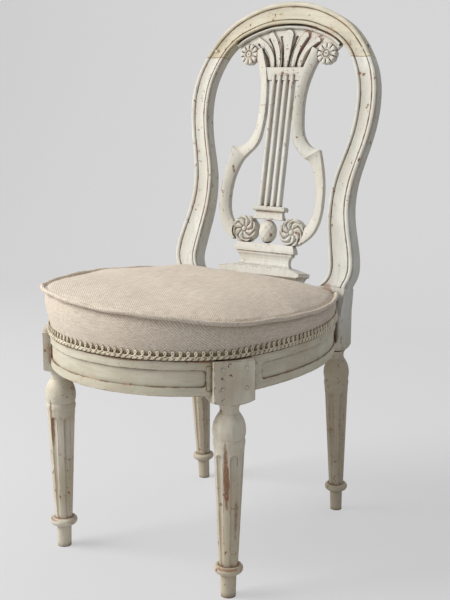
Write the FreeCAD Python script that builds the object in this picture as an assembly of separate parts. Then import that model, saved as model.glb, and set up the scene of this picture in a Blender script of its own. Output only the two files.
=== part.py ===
import FreeCAD, Part
import math
import os

# Lyre back side chair, in millimetres, +Z up, the front towards -Y.
# The front leg axes stand on the line y = 0 while the chair is drawn, and
# the finished chair is moved so that its box is centred over the origin.

Vector = FreeCAD.Vector
upward = Vector(0, 0, 1)

# Seat frame
railTop = 393.0
railHeight = 55.0
railThickness = 26.0
seatFront = 100.0            # front of the seat, ahead of the front leg axes
seatCornerX = 185.0          # where the front curve meets the side curve
seatCornerY = -8.0
seatWidestX = 221.0          # widest point of the seat
seatWidestY = 172.0
seatRearX = 150.0            # where the side curve ends behind the rear blocks
seatRearY = 387.0
rearRailFront = 350.0
rearRailBack = 394.0
panelHeight = 27.0           # sunk panel in the rails
panelDepth = 2.5
panelCorner = 5.0
frontPanelReach = 156.0      # half length of the front panel
sidePanelStart = 46.0
sidePanelEnd = 330.0

# Legs
frontLegX = 173.0
legBlockWidth = 66.0
legBlockFace = 25.0          # from the leg axis to the face of its block
legBlockBack = 29.0
legBlockBottom = 322.0
legBlockTurn = 52.0          # degrees that the block's face turns outwards
legShoulder = 12.0           # rise of the turned shoulder under the block
legShoulderReach = 47.0      # radius where the shoulder has run out
rearShoulder = 27.0
rearShoulderReach = 34.0
legNeck = 15.8               # radii of the turned front leg
legNeckFlare = 1.2           # the neck widens again under the block
legBelly = 26.0
legRing = 25.4
shaftTop = 24.3
shaftBottom = 15.2
legCollar = 23.6
footTop = 13.1
footBottom = 12.0
footHeight = 42.0
collarHeight = 12.0
ringHeight = 13.0
ringBottom = 252.0
fluteCount = 6
fluteRadius = 7.7
fluteDepth = 4.2
fluteTop = 243.0
cableTop = 122.0
cableGap = 1.5
rearLegScale = 0.9           # the rear legs are turned a little slimmer
rearFootX = 153.7
rearFootY = 413.7
rearNeckX = 155.5
rearNeckY = 393.8
rearBlockInner = 131.0
rearBlockOuter = 177.0
rearBlockFront = 365.0
rearBlockBack = 410.0

# Back frame, drawn in its own leaning plane: x across, height along the
# plane from the rail top, depth backwards from the front of the frame
backRake = 10.7
backFront = 364.0
crestLeanBack = 4.4          # the top of the back is bowed further backwards
crestLeanStart = 385.0
crestLeanEnd = 490.0
stileForward = 9.0           # and the feet of the stiles swell forwards
stileForwardTop = 330.0
stileForwardFoot = 110.0
frameDepth = 28.0
frameBead = 6.5              # widths of the beads at the inner and outer edge
frameOuterBead = 8.0
frameQuirk = 2.4             # width of the groove beside each bead
frameGroove = 3.4            # depths of the groove, the field and the bead's foot
frameField = 1.9
frameHollow = 3.2
frameEdge = 1.8
frameUndercut = 2.2          # small cove behind each bead
frameCoveDepth = 5.4
frameSide = 8.0
frameChamfer = 3.0
crestJoint = 470.0
frameStations = [            # outer and inner edge, from the toe to the top
    ((184, 50), (129, 50)),
    ((188, 61), (141, 62)),
    ((193, 76), (146, 77)),
    ((193, 97), (145, 95)),
    ((186, 130), (139, 129)),
    ((175, 172), (132, 171)),
    ((171, 211), (130.5, 211)),
    ((175, 252), (135, 250)),
    ((185, 294), (146, 290)),
    ((194.5, 335), (156.5, 332)),
    ((199, 385), (161, 380)),
    ((193.5, 430), (155, 428)),
    ((177.5, crestJoint), (137.5, crestJoint)),
    ((155.5, 503.5), (122, 489.5)),
    ((129, 530.5), (100, 507)),
    ((100, 548.5), (74, 519)),
    ((52, 567), (39, 529.5)),
]
frameTop = 573.0
archTop = 532.5
crestTenonWidth = 20.0
crestTenonThickness = 9.0
crestTenonLength = 22.0
crestPegRise = 13.0
crestPegProud = 0.8

# Lyre, in the same leaning plane
armThickness = 10.5
armCrown = 1.8               # roundness of an arm's face
armMitre = ((95, 298), (65.5, 280))
armMitreFronts = (4.0, 6.0)   # depth of the face at its outer and inner edge
upperArmFronts = (10.5, 4.5)
lowerArmFronts = (5.5, 11.5)
upperRosetteX = 84.0
upperRosetteDrop = 96.0      # below the top of the crest
upperRosetteRadius = 19.5
upperRosettePetals = 10
upperRosetteFront = 11.0
upperRosetteBack = 24.0
upperRosetteHeight = frameTop - upperRosetteDrop
upperArmStations = [
    ((79, 301), (49.5, 295)),
    ((68, 307), (40, 308)),
    ((56, 322), (34.5, 326)),
    ((49, 350), (31, 352)),
    ((47, 382), (30.5, 382)),
    ((51, 422), (34, 422)),
    ((upperRosetteX - 23, upperRosetteHeight - 22), (upperRosetteX - 41.5, upperRosetteHeight - 20)),
    ((upperRosetteX - 9, upperRosetteHeight + 2), (upperRosetteX - 29, upperRosetteHeight + 12)),
]
lowerArmStations = [
    ((100.5, 278), (78, 269)),
    ((107.5, 250), (88, 245)),
    ((111.5, 218), (93.5, 216)),
    ((111.5, 190), (93.5, 188)),
    ((106, 158), (86, 163)),
    ((91, 134), (74, 149)),
    ((73, 120), (62, 140)),
]
lowerRosetteX = 52.0
lowerRosetteRadius = 26.0
lowerRosettePetals = 9
lowerRosetteFront = 8.5
lowerRosetteBack = 27.0
lowerRosetteSeat = 0.8       # how far the rosette is let into the shoe
rosetteRelief = 4.0
rosetteRing = 0.42           # parts of the radius
rosetteButton = 0.27
rosetteNotch = 0.55
yokeDrop = 50.5              # from the rosettes down to the underside of the yoke
yokeHeight = 24.5
yokeFront = 8.0
yokeBack = 17.0
yokeBottom = upperRosetteHeight - yokeDrop
yokeTop = yokeBottom + yokeHeight
stringCount = 4
stringPitch = 13.5
stringWidth = 7.0
stringRound = 2.4            # depth of the rounded face
stringFront = 4.5
stringBack = 15.0
stringTip = yokeBottom + 12.5
crownPlateFront = 15.5
crownPlateBack = 24.0
crownRelief = 4.0
crownSlots = [               # foot and top on one side; tops lie below the arch
    ((6, 2), (17, 23)),
    ((21, 2), (42, 27)),
    ((37, 2), (65, 36.5)),
]
slotFootWidth = 3.0
slotTopWidth = 6.5
slotBend = (0.36, 0.56)
crownLobes = [(0, 10, 10), (39.5, 15.5, 6.5), (67, 26.5, 5.5)]  # across, below the arch, radius
lobeFootWidth = 8.0
lobeFootShare = 0.44         # the feet of the lobes stand closer together than their tips
lobeTurn = 1.25
lobeBend = (0.55, 0.34)
spandrelTip = (110, 40.5)    # across and below the arch
stringBaseBottom = 163.0
stringBaseHeight = 24.5
stringBaseFoot = 33.0        # half widths
stringBaseNeck = 29.5
stringBaseCap = 34.5
stringBaseCapHeight = 8.5
stringBaseFootHeight = 7.0
stringBaseFront = 5.0
stringBaseBack = 20.0
ballWidth = 37.0
ballDepth = 28.0
ballHeight = 45.0
ballPad = 9.0
lyreMiddleDepth = 13.0
shoeHeight = 116.5
shoeCapHalf = 65.0
shoeTopHalf = 60.0
shoeWaistHalf = 54.0
shoeFlangeHalf = 88.5
shoeBaseHalf = 81.0
shoeCapHeight = 20.5          # from the top of the shoe down to the foot of each moulding
shoeChamfer = 5.0
shoeCapFace = 11.5
shoeWaistHeight = 28.5
shoeFlangeTop = 67.0
shoeFlangeBottom = 60.0
shoeCapFront = 3.0
shoeCapBack = 20.0
shoeWaistFront = 9.0
shoeWaistBack = 18.0
shoeFlangeFront = -10.0
shoeFlangeBack = 32.0
shoeBaseFront = 2.0
shoeBaseBack = 27.0

# Joinery
tenonThickness = 9.0
tenonLength = 23.0
tenonHeight = 38.0
tenonSetback = 12.0          # from the block's face to the tenon
tenonOverlap = 8.0           # how far the tenon is rooted in the rail
pegRadius = 3.0
pegHeights = (350.0, 381.0)
pegProud = 0.6
pegReach = 25.0
cornerBlockHeight = 30.0
cornerBlockDepth = 34.0       # from the inner corner to the block's long face
cornerBlockHalf = 52.0
screwSlant = 0.75            # how far the screws turn towards the corner
screwInset = 6               # head of a screw in from the middle of its block
screwSpread = 9              # each screw out from the middle of its block
screwRadius = 2.2
screwHeadRadius = 4.2
screwHeadHeight = 2.4
screwLength = 34.0

# Upholstery
webWidth = 50.0
webThickness = 1.8
webLap = 14.0                # how far a web runs onto the rail
webRearLap = 9.0
layerGap = 0.3
lengthwiseWebs = (-99.0, -33.0, 33.0, 99.0)
crosswiseWebs = (20.0, 92.0, 164.0, 236.0, 308.0)
tackRadius = 0.9
tackHeadRadius = 2.6
tackHeadHeight = 0.6
tackLength = 9.0
tackEdge = 5.0
tackSpread = 16.0
hessianThickness = 1.2
coverThickness = 1.6
coverInset = 1.5             # cover's foot, inside the rail's outer face
softGap = 0.3
coverRear = 362.5
bandBulge = 6.0              # the side of the seat swells over the rail
bandFoot = 1.0
weltRadius = 3.7
weltFrontRise = 75.0         # of the welt round the seat, above the rails
weltCornerRise = 61.5
weltSideRise = 57.5
weltRearRise = 46.0
weltTilt = 0.072             # the worn seat stands higher towards the left
weltRearTilt = 0.034
seatShift = -6.0             # and its top has crept to the left
crownRise = 80.0             # of the middle of the seat, above the rails
crownPower = 4.0             # high values give a full crown with steep shoulders
crownShares = (0.99, 0.95, 0.88, 0.78, 0.65, 0.5, 0.33, 0.15)
bandSwells = ((0.35, 0.8), (0.65, 1.0), (0.9, 0.6))   # share of the band's height, of its bulge
gimpHeight = 15.0
gimpThickness = 2.4

backLean = math.radians(backRake)
railBottom = railTop - railHeight
panelBottom = railBottom + (railHeight - panelHeight) / 2
seatMiddleY = (coverRear - seatFront) / 2
seatTop = railTop + crownRise
weltFront = railTop + weltFrontRise
weltCorner = railTop + weltCornerRise
weltSide = railTop + weltSideRise
weltRear = railTop + weltRearRise


# Small drawing helpers

def line(start, end):
    return Part.LineSegment(start, end).toShape()


def arc(start, middle, end):
    return Part.Arc(start, middle, end).toShape()


def polygon(points):
    return Part.Wire(Part.makePolygon(list(points) + [points[0]]))


def prism(wire, way):
    return Part.Face(wire).extrude(way)


def box(low, high):
    size = high - low
    return Part.makeBox(size.x, size.y, size.z, low)


def mirrored(shape):
    return shape.mirror(Vector(0, 0, 0), Vector(1, 0, 0))


def fused(shapes):
    whole = shapes[0].fuse(list(shapes[1:])) if len(shapes) > 1 else shapes[0]
    return whole.removeSplitter()


def trimmed(shape, cutters):
    return shape.cut(list(cutters)) if cutters else shape


def leaned(shape):
    """Takes a shape from the plane of the back into the chair."""
    turned = shape.copy()
    turned.rotate(Vector(0, 0, 0), Vector(1, 0, 0), -backRake)
    turned.translate(Vector(0, backFront, railTop))
    return turned


def backPoint(x, depth, height):
    """A point of the leaning back, in the chair."""
    y = backFront + height * math.sin(backLean) + depth * math.cos(backLean)
    z = railTop + height * math.cos(backLean) - depth * math.sin(backLean)
    return Vector(x, y, z)


def eased(share):
    """Smooth step from 0 to 1."""
    share = min(max(share, 0.0), 1.0)
    return share * share * (3 - 2 * share)


def crestLean(height):
    """How far the bow of the back sets its upper part backwards."""
    return crestLeanBack * eased((height - crestLeanStart) / (crestLeanEnd - crestLeanStart))


def stileSwell(height):
    """How far the foot of a stile comes forwards."""
    return stileForward * eased((stileForwardTop - height) / (stileForwardTop - stileForwardFoot))


# Plan of the seat: a front arc and two arcs on each side

def circleThrough(across, along):
    """Radius of an arc that rises along over a half chord of across."""
    return (across ** 2 + along ** 2) / (2 * along)


frontRadius = circleThrough(seatCornerX, seatCornerY + seatFront)
frontCentre = frontRadius - seatFront
lowerSideRadius = circleThrough(seatWidestY - seatCornerY, seatWidestX - seatCornerX)
upperSideRadius = circleThrough(seatRearY - seatWidestY, seatWidestX - seatRearX)


def frontY(x, grow=0.0):
    return frontCentre - math.sqrt((frontRadius + grow) ** 2 - x ** 2)


def sideX(y, grow=0.0):
    radius = lowerSideRadius if y < seatWidestY else upperSideRadius
    return seatWidestX - radius + math.sqrt((radius + grow) ** 2 - (y - seatWidestY) ** 2)


def cornerPoint(grow):
    """Where the front and side arcs meet when both are moved outwards."""
    low, high = seatCornerX - railThickness * 2, seatWidestX
    for step in range(60):
        x = (low + high) / 2
        if sideX(frontY(x, grow), grow) > x:
            low = x
        else:
            high = x
    return x, frontY(x, grow)


def planEdges(grow, rear, height, share=1.0, shift=0.0):
    """Edges of the seat's plan, from the left rear round the front.

    height gives the level over each point, share draws the plan in
    towards the middle of the seat, and shift moves it sideways.
    """
    cornerX, cornerY = cornerPoint(grow)
    rearX = sideX(rear, grow)

    def at(x, y):
        return Vector(x * share + shift, seatMiddleY + (y - seatMiddleY) * share, height(x, y))

    def side(sign):
        upperY = (rear + seatWidestY) / 2
        lowerY = (cornerY + seatWidestY) / 2
        widest = at(sign * (seatWidestX + grow), seatWidestY)
        upper = (at(sign * rearX, rear), at(sign * sideX(upperY, grow), upperY), widest)
        lower = (widest, at(sign * sideX(lowerY, grow), lowerY), at(sign * cornerX, cornerY))
        return upper, lower

    leftUpper, leftLower = side(-1)
    rightUpper, rightLower = side(1)
    front = (at(-cornerX, cornerY), at(0, frontY(0, grow)), at(cornerX, cornerY))
    return [
        arc(*leftUpper),
        arc(*leftLower),
        arc(*front),
        arc(*reversed(rightLower)),
        arc(*reversed(rightUpper)),
    ]


def planWire(grow, rear, height, share=1.0, shift=0.0):
    edges = planEdges(grow, rear, height, share, shift)
    first = edges[0].valueAt(edges[0].FirstParameter)
    last = edges[-1].valueAt(edges[-1].LastParameter)
    return Part.Wire(edges + [line(last, first)])


def planSolid(grow, rear, bottom, top):
    wire = planWire(grow, rear, lambda x, y: bottom)
    return prism(wire, upward * (top - bottom))


# Turned legs

def legProfile(scale):
    """Half outline of a turned leg, from its foot to the neck."""
    collarTop = footHeight + collarHeight
    ringTop = ringBottom + ringHeight
    neckTop = legBlockBottom

    def at(radius, height):
        return Vector(radius * scale, 0, height)

    bellyMiddle = ringTop + (neckTop - ringTop) * 0.3
    shoulder = ringTop + (neckTop - ringTop) * 0.72
    return [
        line(Vector(0, 0, -footHeight), at(footBottom, -footHeight)),
        line(at(footBottom, -footHeight), at(footBottom, 0)),
        line(at(footBottom, 0), at(footTop, footHeight)),
        arc(at(footTop, footHeight), at(legCollar, footHeight + collarHeight / 2),
            at(shaftBottom, collarTop)),
        line(at(shaftBottom, collarTop), at(shaftTop, ringBottom)),
        arc(at(shaftTop, ringBottom), at(legRing, ringBottom + ringHeight / 2),
            at(shaftTop, ringTop)),
        arc(at(shaftTop, ringTop), at(legBelly, bellyMiddle), at(legNeck, shoulder)),
        arc(at(legNeck, shoulder), at(legNeck * 0.97, (shoulder + neckTop) / 2),
            at(legNeck * legNeckFlare, neckTop)),
        line(at(legNeck * legNeckFlare, neckTop), Vector(0, 0, neckTop)),
        line(Vector(0, 0, neckTop), Vector(0, 0, -footHeight)),
    ]


def shaftRadius(height):
    collarTop = footHeight + collarHeight
    share = (height - collarTop) / (ringBottom - collarTop)
    return shaftBottom + (shaftTop - shaftBottom) * share


def fluteCutter(scale):
    """One hollow flute above and the two thin grooves beside its cable."""
    collarTop = footHeight + collarHeight
    taper = shaftBottom / shaftTop

    def rod(low, high, radius, inset):
        start = Vector((shaftRadius(low) - inset + radius) * scale, 0, low)
        end = Vector((shaftRadius(high) - inset + radius) * scale, 0, high)
        way = end - start
        lowRadius = radius * (taper + (1 - taper) * (low - collarTop) / (ringBottom - collarTop))
        highRadius = radius * (taper + (1 - taper) * (high - collarTop) / (ringBottom - collarTop))
        return Part.makeCone(lowRadius * scale, highRadius * scale, way.Length, start, way)

    hollow = rod(cableTop, fluteTop - fluteRadius, fluteRadius, fluteDepth)
    endInset = shaftRadius(fluteTop - fluteRadius) - fluteDepth + fluteRadius
    cap = Part.makeSphere(fluteRadius * scale * 0.97, Vector(endInset * scale, 0, fluteTop - fluteRadius))
    groove = rod(collarTop + 2, cableTop, fluteRadius, fluteDepth)
    cable = rod(collarTop + 1, cableTop + 1, fluteRadius - cableGap, fluteRadius * 2 - cableGap * 1.6)
    return hollow.fuse([cap, groove.cut(cable)])


def turnedLeg(scale, turn):
    wire = Part.Wire(legProfile(scale))
    leg = Part.Face(wire).revolve(Vector(0, 0, 0), upward, 360)
    cutters = []
    for index in range(fluteCount):
        cutter = fluteCutter(scale)
        cutter.rotate(Vector(0, 0, 0), upward, turn + index * 360 / fluteCount)
        cutters.append(cutter)
    return leg.cut(cutters)


legBlockNormal = Vector(math.sin(math.radians(legBlockTurn)), -math.cos(math.radians(legBlockTurn)), 0)
legBlockAlong = Vector(math.cos(math.radians(legBlockTurn)), math.sin(math.radians(legBlockTurn)), 0)


def inLegBlock(along, outwards, height):
    """A point given along and outwards in the right front leg's block."""
    middle = Vector(frontLegX, 0, height)
    return middle + legBlockAlong * along + legBlockNormal * outwards


def legBlockPrism(alongs, outwards, heights):
    corners = [(0, 0), (1, 0), (1, 1), (0, 1)]
    points = [inLegBlock(alongs[a], outwards[b], heights[0]) for a, b in corners]
    return prism(polygon(points), upward * (heights[1] - heights[0]))


def shoulderTurning(x, y, scale, rise, reach):
    """Turned outline that rounds the foot of a square block into the leg."""
    neck = legNeck * legNeckFlare * scale
    top = legBlockBottom + rise
    middle = Vector((neck + reach) / 2, 0, legBlockBottom + rise * 0.3)
    wire = Part.Wire([
        line(Vector(0, 0, legBlockBottom), Vector(neck, 0, legBlockBottom)),
        arc(Vector(neck, 0, legBlockBottom), middle, Vector(reach, 0, top)),
        line(Vector(reach, 0, top), Vector(reach, 0, railTop)),
        line(Vector(reach, 0, railTop), Vector(0, 0, railTop)),
        line(Vector(0, 0, railTop), Vector(0, 0, legBlockBottom)),
    ])
    turning = Part.Face(wire).revolve(Vector(0, 0, 0), upward, 360)
    turning.translate(Vector(x, y, 0))
    return turning


def legBlock():
    half = legBlockWidth / 2
    block = legBlockPrism((-half, half), (-legBlockBack, legBlockFace), (legBlockBottom, railTop))
    return block.common(shoulderTurning(frontLegX, 0, 1, legShoulder, legShoulderReach))


def frontTenon(side):
    """Tenon into the right front block, from the front (-1) or side (1) rail."""
    half = legBlockWidth / 2
    inside, outside = half - tenonLength, half + tenonOverlap
    alongs = sorted((side * inside, side * outside))
    face = legBlockFace - tenonSetback
    middle = (railTop + railBottom) / 2
    return legBlockPrism(alongs, (face - tenonThickness, face),
                         (middle - tenonHeight / 2, middle + tenonHeight / 2))


def frontLegPegs():
    pegs = []
    for side in (-1, 1):
        along = side * (legBlockWidth / 2 - tenonLength * 0.6)
        for height in pegHeights:
            start = inLegBlock(along, legBlockFace + pegProud, height)
            pegs.append(Part.makeCylinder(pegRadius, pegReach, start, legBlockNormal * -1))
    return pegs


# Rear posts: turned leg, block and stile in one piece of wood

def frameSection(outer, inner):
    """Moulded section of the back frame between two points of its edges."""
    width = math.hypot(outer[0] - inner[0], outer[1] - inner[1])
    stepX = (outer[0] - inner[0]) / width
    stepZ = (outer[1] - inner[1]) / width
    height = (outer[1] + inner[1]) / 2
    front = crestLean(height) - stileSwell(height)
    back = frameDepth + crestLean(height)

    def at(across, depth):
        return Vector(inner[0] + stepX * across, front + depth, inner[1] + stepZ * across)

    def atBack(across, depth):
        return Vector(inner[0] + stepX * across, back - depth, inner[1] + stepZ * across)

    outerBead = width - frameOuterBead
    wall = frameQuirk / 4
    corners = [
        at(frameUndercut, frameCoveDepth), at(0, frameEdge),
        at(frameBead, frameEdge), at(frameBead + wall, frameGroove), at(frameBead + frameQuirk, frameField),
        at(outerBead - frameQuirk, frameField), at(outerBead - wall, frameGroove), at(outerBead, frameEdge),
        at(width, frameEdge), at(width - frameUndercut, frameCoveDepth), at(width, frameSide),
        atBack(width, frameChamfer), atBack(width - frameChamfer, 0), atBack(frameChamfer, 0),
        atBack(0, frameChamfer), at(0, frameSide),
    ]
    crowns = {
        1: at(frameBead / 2, 0),
        4: at(width / 2, frameHollow),
        7: at(outerBead + frameOuterBead / 2, 0),
    }
    edges = []
    for index, corner in enumerate(corners):
        following = corners[(index + 1) % len(corners)]
        if index in crowns:
            edges.append(arc(corner, crowns[index], following))
        else:
            edges.append(line(corner, following))
    return Part.Wire(edges)


def backFrame():
    """The whole oval of the back, before it is parted at the crest joints."""
    right = [frameSection(outer, inner) for outer, inner in frameStations]
    left = [frameSection((-outer[0], outer[1]), (-inner[0], inner[1]))
            for outer, inner in frameStations]
    sections = right + [frameSection((0, frameTop), (0, archTop))] + left[::-1]
    return Part.makeLoft(sections, True, False)


def crestTenon():
    outer, inner = [pair for pair in frameStations if pair[0][1] == crestJoint][0]
    middle = (outer[0] + inner[0]) / 2
    half = crestTenonWidth / 2
    front = (frameDepth - crestTenonThickness) / 2 + crestLean(crestJoint)
    return box(Vector(middle - half, front, crestJoint - 2),
               Vector(middle + half, front + crestTenonThickness, crestJoint + crestTenonLength))


def crestPeg():
    """Peg whose end stands a little proud of the field of the frame."""
    start = Vector(crestTenon().BoundBox.Center.x, crestLean(crestJoint) + frameHollow - crestPegProud,
                   crestJoint + crestPegRise)
    return Part.makeCylinder(pegRadius, frameDepth - frameHollow * 2, start, Vector(0, 1, 0))


def rearBlock():
    block = box(Vector(rearBlockInner, rearBlockFront, legBlockBottom),
                Vector(rearBlockOuter, rearBlockBack, railTop))
    return block.common(shoulderTurning(rearNeckX, rearNeckY, rearLegScale, rearShoulder,
                                        rearShoulderReach))


def postKnee():
    """Joins the raked stile to the block that stands in the seat frame."""
    outer, inner = frameStations[0]
    front = -stileSwell(outer[1])
    upper = polygon([backPoint(inner[0], front, inner[1]), backPoint(outer[0], front, outer[1]),
                     backPoint(outer[0], frameDepth, outer[1]),
                     backPoint(inner[0], frameDepth, inner[1])])
    lower = polygon([Vector(rearBlockInner, rearBlockFront, railTop),
                     Vector(rearBlockOuter, rearBlockFront, railTop),
                     Vector(rearBlockOuter, rearBlockBack, railTop),
                     Vector(rearBlockInner, rearBlockBack, railTop)])
    return Part.makeLoft([lower, upper], True, True)


def rearLeg():
    leg = turnedLeg(rearLegScale, 180 / fluteCount)
    way = Vector(rearNeckX - rearFootX, rearNeckY - rearFootY, legBlockBottom)
    turn = FreeCAD.Rotation(upward, way)
    leg.Placement = FreeCAD.Placement(Vector(rearFootX, rearFootY, 0), turn)
    reach = legBlockBottom
    floor = box(Vector(0, 0, -reach), Vector(rearFootX * 2, rearFootY * 2, 0))
    ceiling = box(Vector(0, 0, legBlockBottom), Vector(rearFootX * 2, rearFootY * 2, railTop * 2))
    return leg.cut([floor, ceiling])


def rearTenons():
    """Tenons of the side rail and the rear rail in the right rear block."""
    middle = (railTop + railBottom) / 2
    low, high = middle - tenonHeight / 2, middle + tenonHeight / 2
    railX = sideX(rearBlockFront) - railThickness / 2
    sideTenon = box(Vector(railX - tenonThickness / 2, rearBlockFront - tenonOverlap, low),
                    Vector(railX + tenonThickness / 2, rearBlockFront + tenonLength * 0.7, high))
    railY = rearBlockFront + (rearRailBack - rearBlockFront) * 0.8
    rearTenon = box(Vector(rearBlockInner - tenonOverlap, railY - tenonThickness / 2, low),
                    Vector(rearBlockInner + tenonLength, railY + tenonThickness / 2, high))
    return sideTenon, rearTenon


def rearPegs():
    pegs = []
    sideTenon, rearTenon = rearTenons()
    for height in pegHeights:
        start = Vector(rearBlockOuter + pegProud, rearBlockFront + tenonLength * 0.35, height)
        reach = rearBlockOuter - sideTenon.BoundBox.XMin + pegProud
        pegs.append(Part.makeCylinder(pegRadius, reach, start, Vector(-1, 0, 0)))
    return pegs


# Seat rails

def band(grow, thickness, rear, bottom, top):
    """Wall of even thickness that follows the seat's plan."""
    return planSolid(grow, rear, bottom, top).cut(
        planSolid(grow - thickness, rear + thickness, bottom - 1, top + 1))


def roundedPanel(low, high, way):
    """Panel outline with rounded corners, drawn upright and pushed along way."""
    corner = panelCorner
    across = upward.cross(way)
    across.normalize()

    def at(u, z):
        return across * u + upward * z

    bottom, top = panelBottom, panelBottom + panelHeight
    corners = [(low, bottom, 1, 1), (high, bottom, -1, 1), (high, top, -1, -1), (low, top, 1, -1)]
    edges = []
    ends = []
    slope = 1 - math.sqrt(0.5)
    for index, (u, z, signU, signZ) in enumerate(corners):
        alongU = at(u + signU * corner, z)
        alongZ = at(u, z + signZ * corner)
        middle = at(u + signU * corner * slope, z + signZ * corner * slope)
        pair = (alongZ, alongU) if index in (0, 2) else (alongU, alongZ)
        edges.append(arc(pair[0], middle, pair[1]))
        ends.append(pair)
    sides = [line(ends[i][1], ends[(i + 1) % 4][0]) for i in range(4)]
    ordered = [edge for pair in zip(edges, sides) for edge in pair]
    return prism(Part.Wire(ordered), way)


def panelCut(low, high, way, inset=0.0):
    shell = band(1, panelDepth + 1 - inset, seatRearY, panelBottom - 1, panelBottom + panelHeight + 1)
    return shell.common(roundedPanel(low, high, way))


def seatRails(blocks):
    """Front rail and right side rail as one ring, parted by the leg blocks."""
    ring = band(0, railThickness, seatRearY, railBottom, railTop)
    tall = Vector(0, 0, railHeight * 3)
    far = seatWidestX * 2
    frontZone = prism(polygon([Vector(0, 0, 0), Vector(frontLegX, 0, 0), Vector(far, -far, 0),
                               Vector(-far, -far, 0), Vector(-frontLegX, 0, 0)]), tall * 4)
    front = trimmed(ring.common(frontZone), blocks)
    front = max(front.Solids, key=lambda solid: solid.Volume)
    sideZone = box(Vector(frontLegX / 2, -seatFront, 0), Vector(far, rearBlockFront, railTop * 2))
    side = trimmed(ring.common(sideZone).cut(frontZone), blocks)
    side = max(side.Solids, key=lambda solid: solid.Volume)
    frontWay = Vector(0, -seatFront * 2, 0)
    front = front.cut(panelCut(-frontPanelReach, frontPanelReach, frontWay))
    sideWay = Vector(seatWidestX * 2, 0, 0)
    side = side.cut(panelCut(sidePanelStart, sidePanelEnd, sideWay))
    return front, side


def rearRail():
    return box(Vector(-rearBlockInner, rearRailFront, railBottom),
               Vector(rearBlockInner, rearRailBack, railTop))


# Corner blocks and their screws

def cornerBlock(corner, way, neighbours):
    """Glued block across an inner corner of the seat frame."""
    inside = planSolid(-railThickness, rearRailFront, railBottom, railTop)
    bottom = railTop - (railHeight + cornerBlockHeight) / 2
    side = Vector(-way.y, way.x, 0)
    start = Vector(corner.x, corner.y, bottom)
    half = cornerBlockHalf
    corners = ((-half, -half), (cornerBlockDepth, -half), (cornerBlockDepth, half), (-half, half))
    points = [start + way * along + side * across for along, across in corners]
    zone = prism(polygon(points), upward * cornerBlockHeight)
    block = trimmed(inside.common(zone), neighbours)
    return max(block.Solids, key=lambda solid: solid.Volume)


def screw(start, way):
    head = Part.makeCylinder(screwHeadRadius, screwHeadHeight, start, way)
    shank = Part.makeCylinder(screwRadius, screwLength, start, way)
    return head.fuse(shank).removeSplitter()


# Parts of the lyre

def armSection(outer, inner, fronts):
    """Section of a lyre arm; its face slopes from the outer to the inner edge."""
    width = math.hypot(outer[0] - inner[0], outer[1] - inner[1])
    stepX = (outer[0] - inner[0]) / width
    stepZ = (outer[1] - inner[1]) / width
    lean = crestLean((outer[1] + inner[1]) / 2)
    outerFront, innerFront = fronts[0] + lean, fronts[1] + lean

    def at(across, depth):
        return Vector(inner[0] + stepX * across, depth, inner[1] + stepZ * across)

    return Part.Wire([
        line(at(0, innerFront + armThickness), at(0, innerFront)),
        arc(at(0, innerFront), at(width / 2, (outerFront + innerFront) / 2 - armCrown),
            at(width, outerFront)),
        line(at(width, outerFront), at(width, outerFront + armThickness)),
        line(at(width, outerFront + armThickness), at(0, innerFront + armThickness)),
    ])


def rosetteDrum(x, height, radius, front, back):
    return Part.makeCylinder(radius, back - front, Vector(x, front, height), Vector(0, 1, 0))


def rosette(x, height, radius, petals, front, back):
    """Drum whose face is cut into petals round a raised button."""
    drum = rosetteDrum(x, height, radius, front, back)
    notchRadius = radius * math.sin(math.pi / petals) * rosetteNotch
    rim = radius * 1.02
    cutters = []
    for index in range(petals):
        turn = 2 * math.pi * (index + 0.5) / petals
        centre = Vector(x + rim * math.cos(turn), front - 1, height + rim * math.sin(turn))
        cutters.append(Part.makeCylinder(notchRadius, rosetteRelief + 1, centre, Vector(0, 1, 0)))
    ring = rosetteDrum(x, height, radius * rosetteRing, front - 1, front + rosetteRelief / 2)
    button = rosetteDrum(x, height, radius * rosetteButton, front - 2, front + rosetteRelief)
    return drum.cut(cutters + [ring.cut(button)])


def lyreArm(drums):
    """Two lofts that meet in the mitre at the shoulder."""
    mitre = armSection(*armMitre, armMitreFronts)
    whole = None
    for stations, fronts in ((upperArmStations, upperArmFronts), (lowerArmStations, lowerArmFronts)):
        sections = [mitre.copy()] + [armSection(*pair, fronts) for pair in stations]
        half = Part.makeLoft(sections, True, False)
        whole = whole.fuse(half) if whole else half
    return trimmed(whole, drums)


def lyreString(x):
    """Square bar with a rounded face; its tip lies over the yoke bar."""
    half = stringWidth / 2
    foot = stringBaseBottom + stringBaseHeight

    def section(height, back):
        shoulder = stringFront + stringRound
        return Part.Wire([
            line(Vector(x - half, back, height), Vector(x - half, shoulder, height)),
            arc(Vector(x - half, shoulder, height), Vector(x, stringFront, height),
                Vector(x + half, shoulder, height)),
            line(Vector(x + half, shoulder, height), Vector(x + half, back, height)),
            line(Vector(x + half, back, height), Vector(x - half, back, height)),
        ])

    bar = prism(section(foot, stringBack), upward * (yokeBottom - foot))
    tip = prism(section(yokeBottom, yokeFront), upward * (stringTip - half - yokeBottom))
    end = Part.makeCylinder(half, yokeFront - stringFront - stringRound / 2,
                            Vector(x, stringFront + stringRound / 2, stringTip - half), Vector(0, 1, 0))
    return fused([bar, tip, end])


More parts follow.
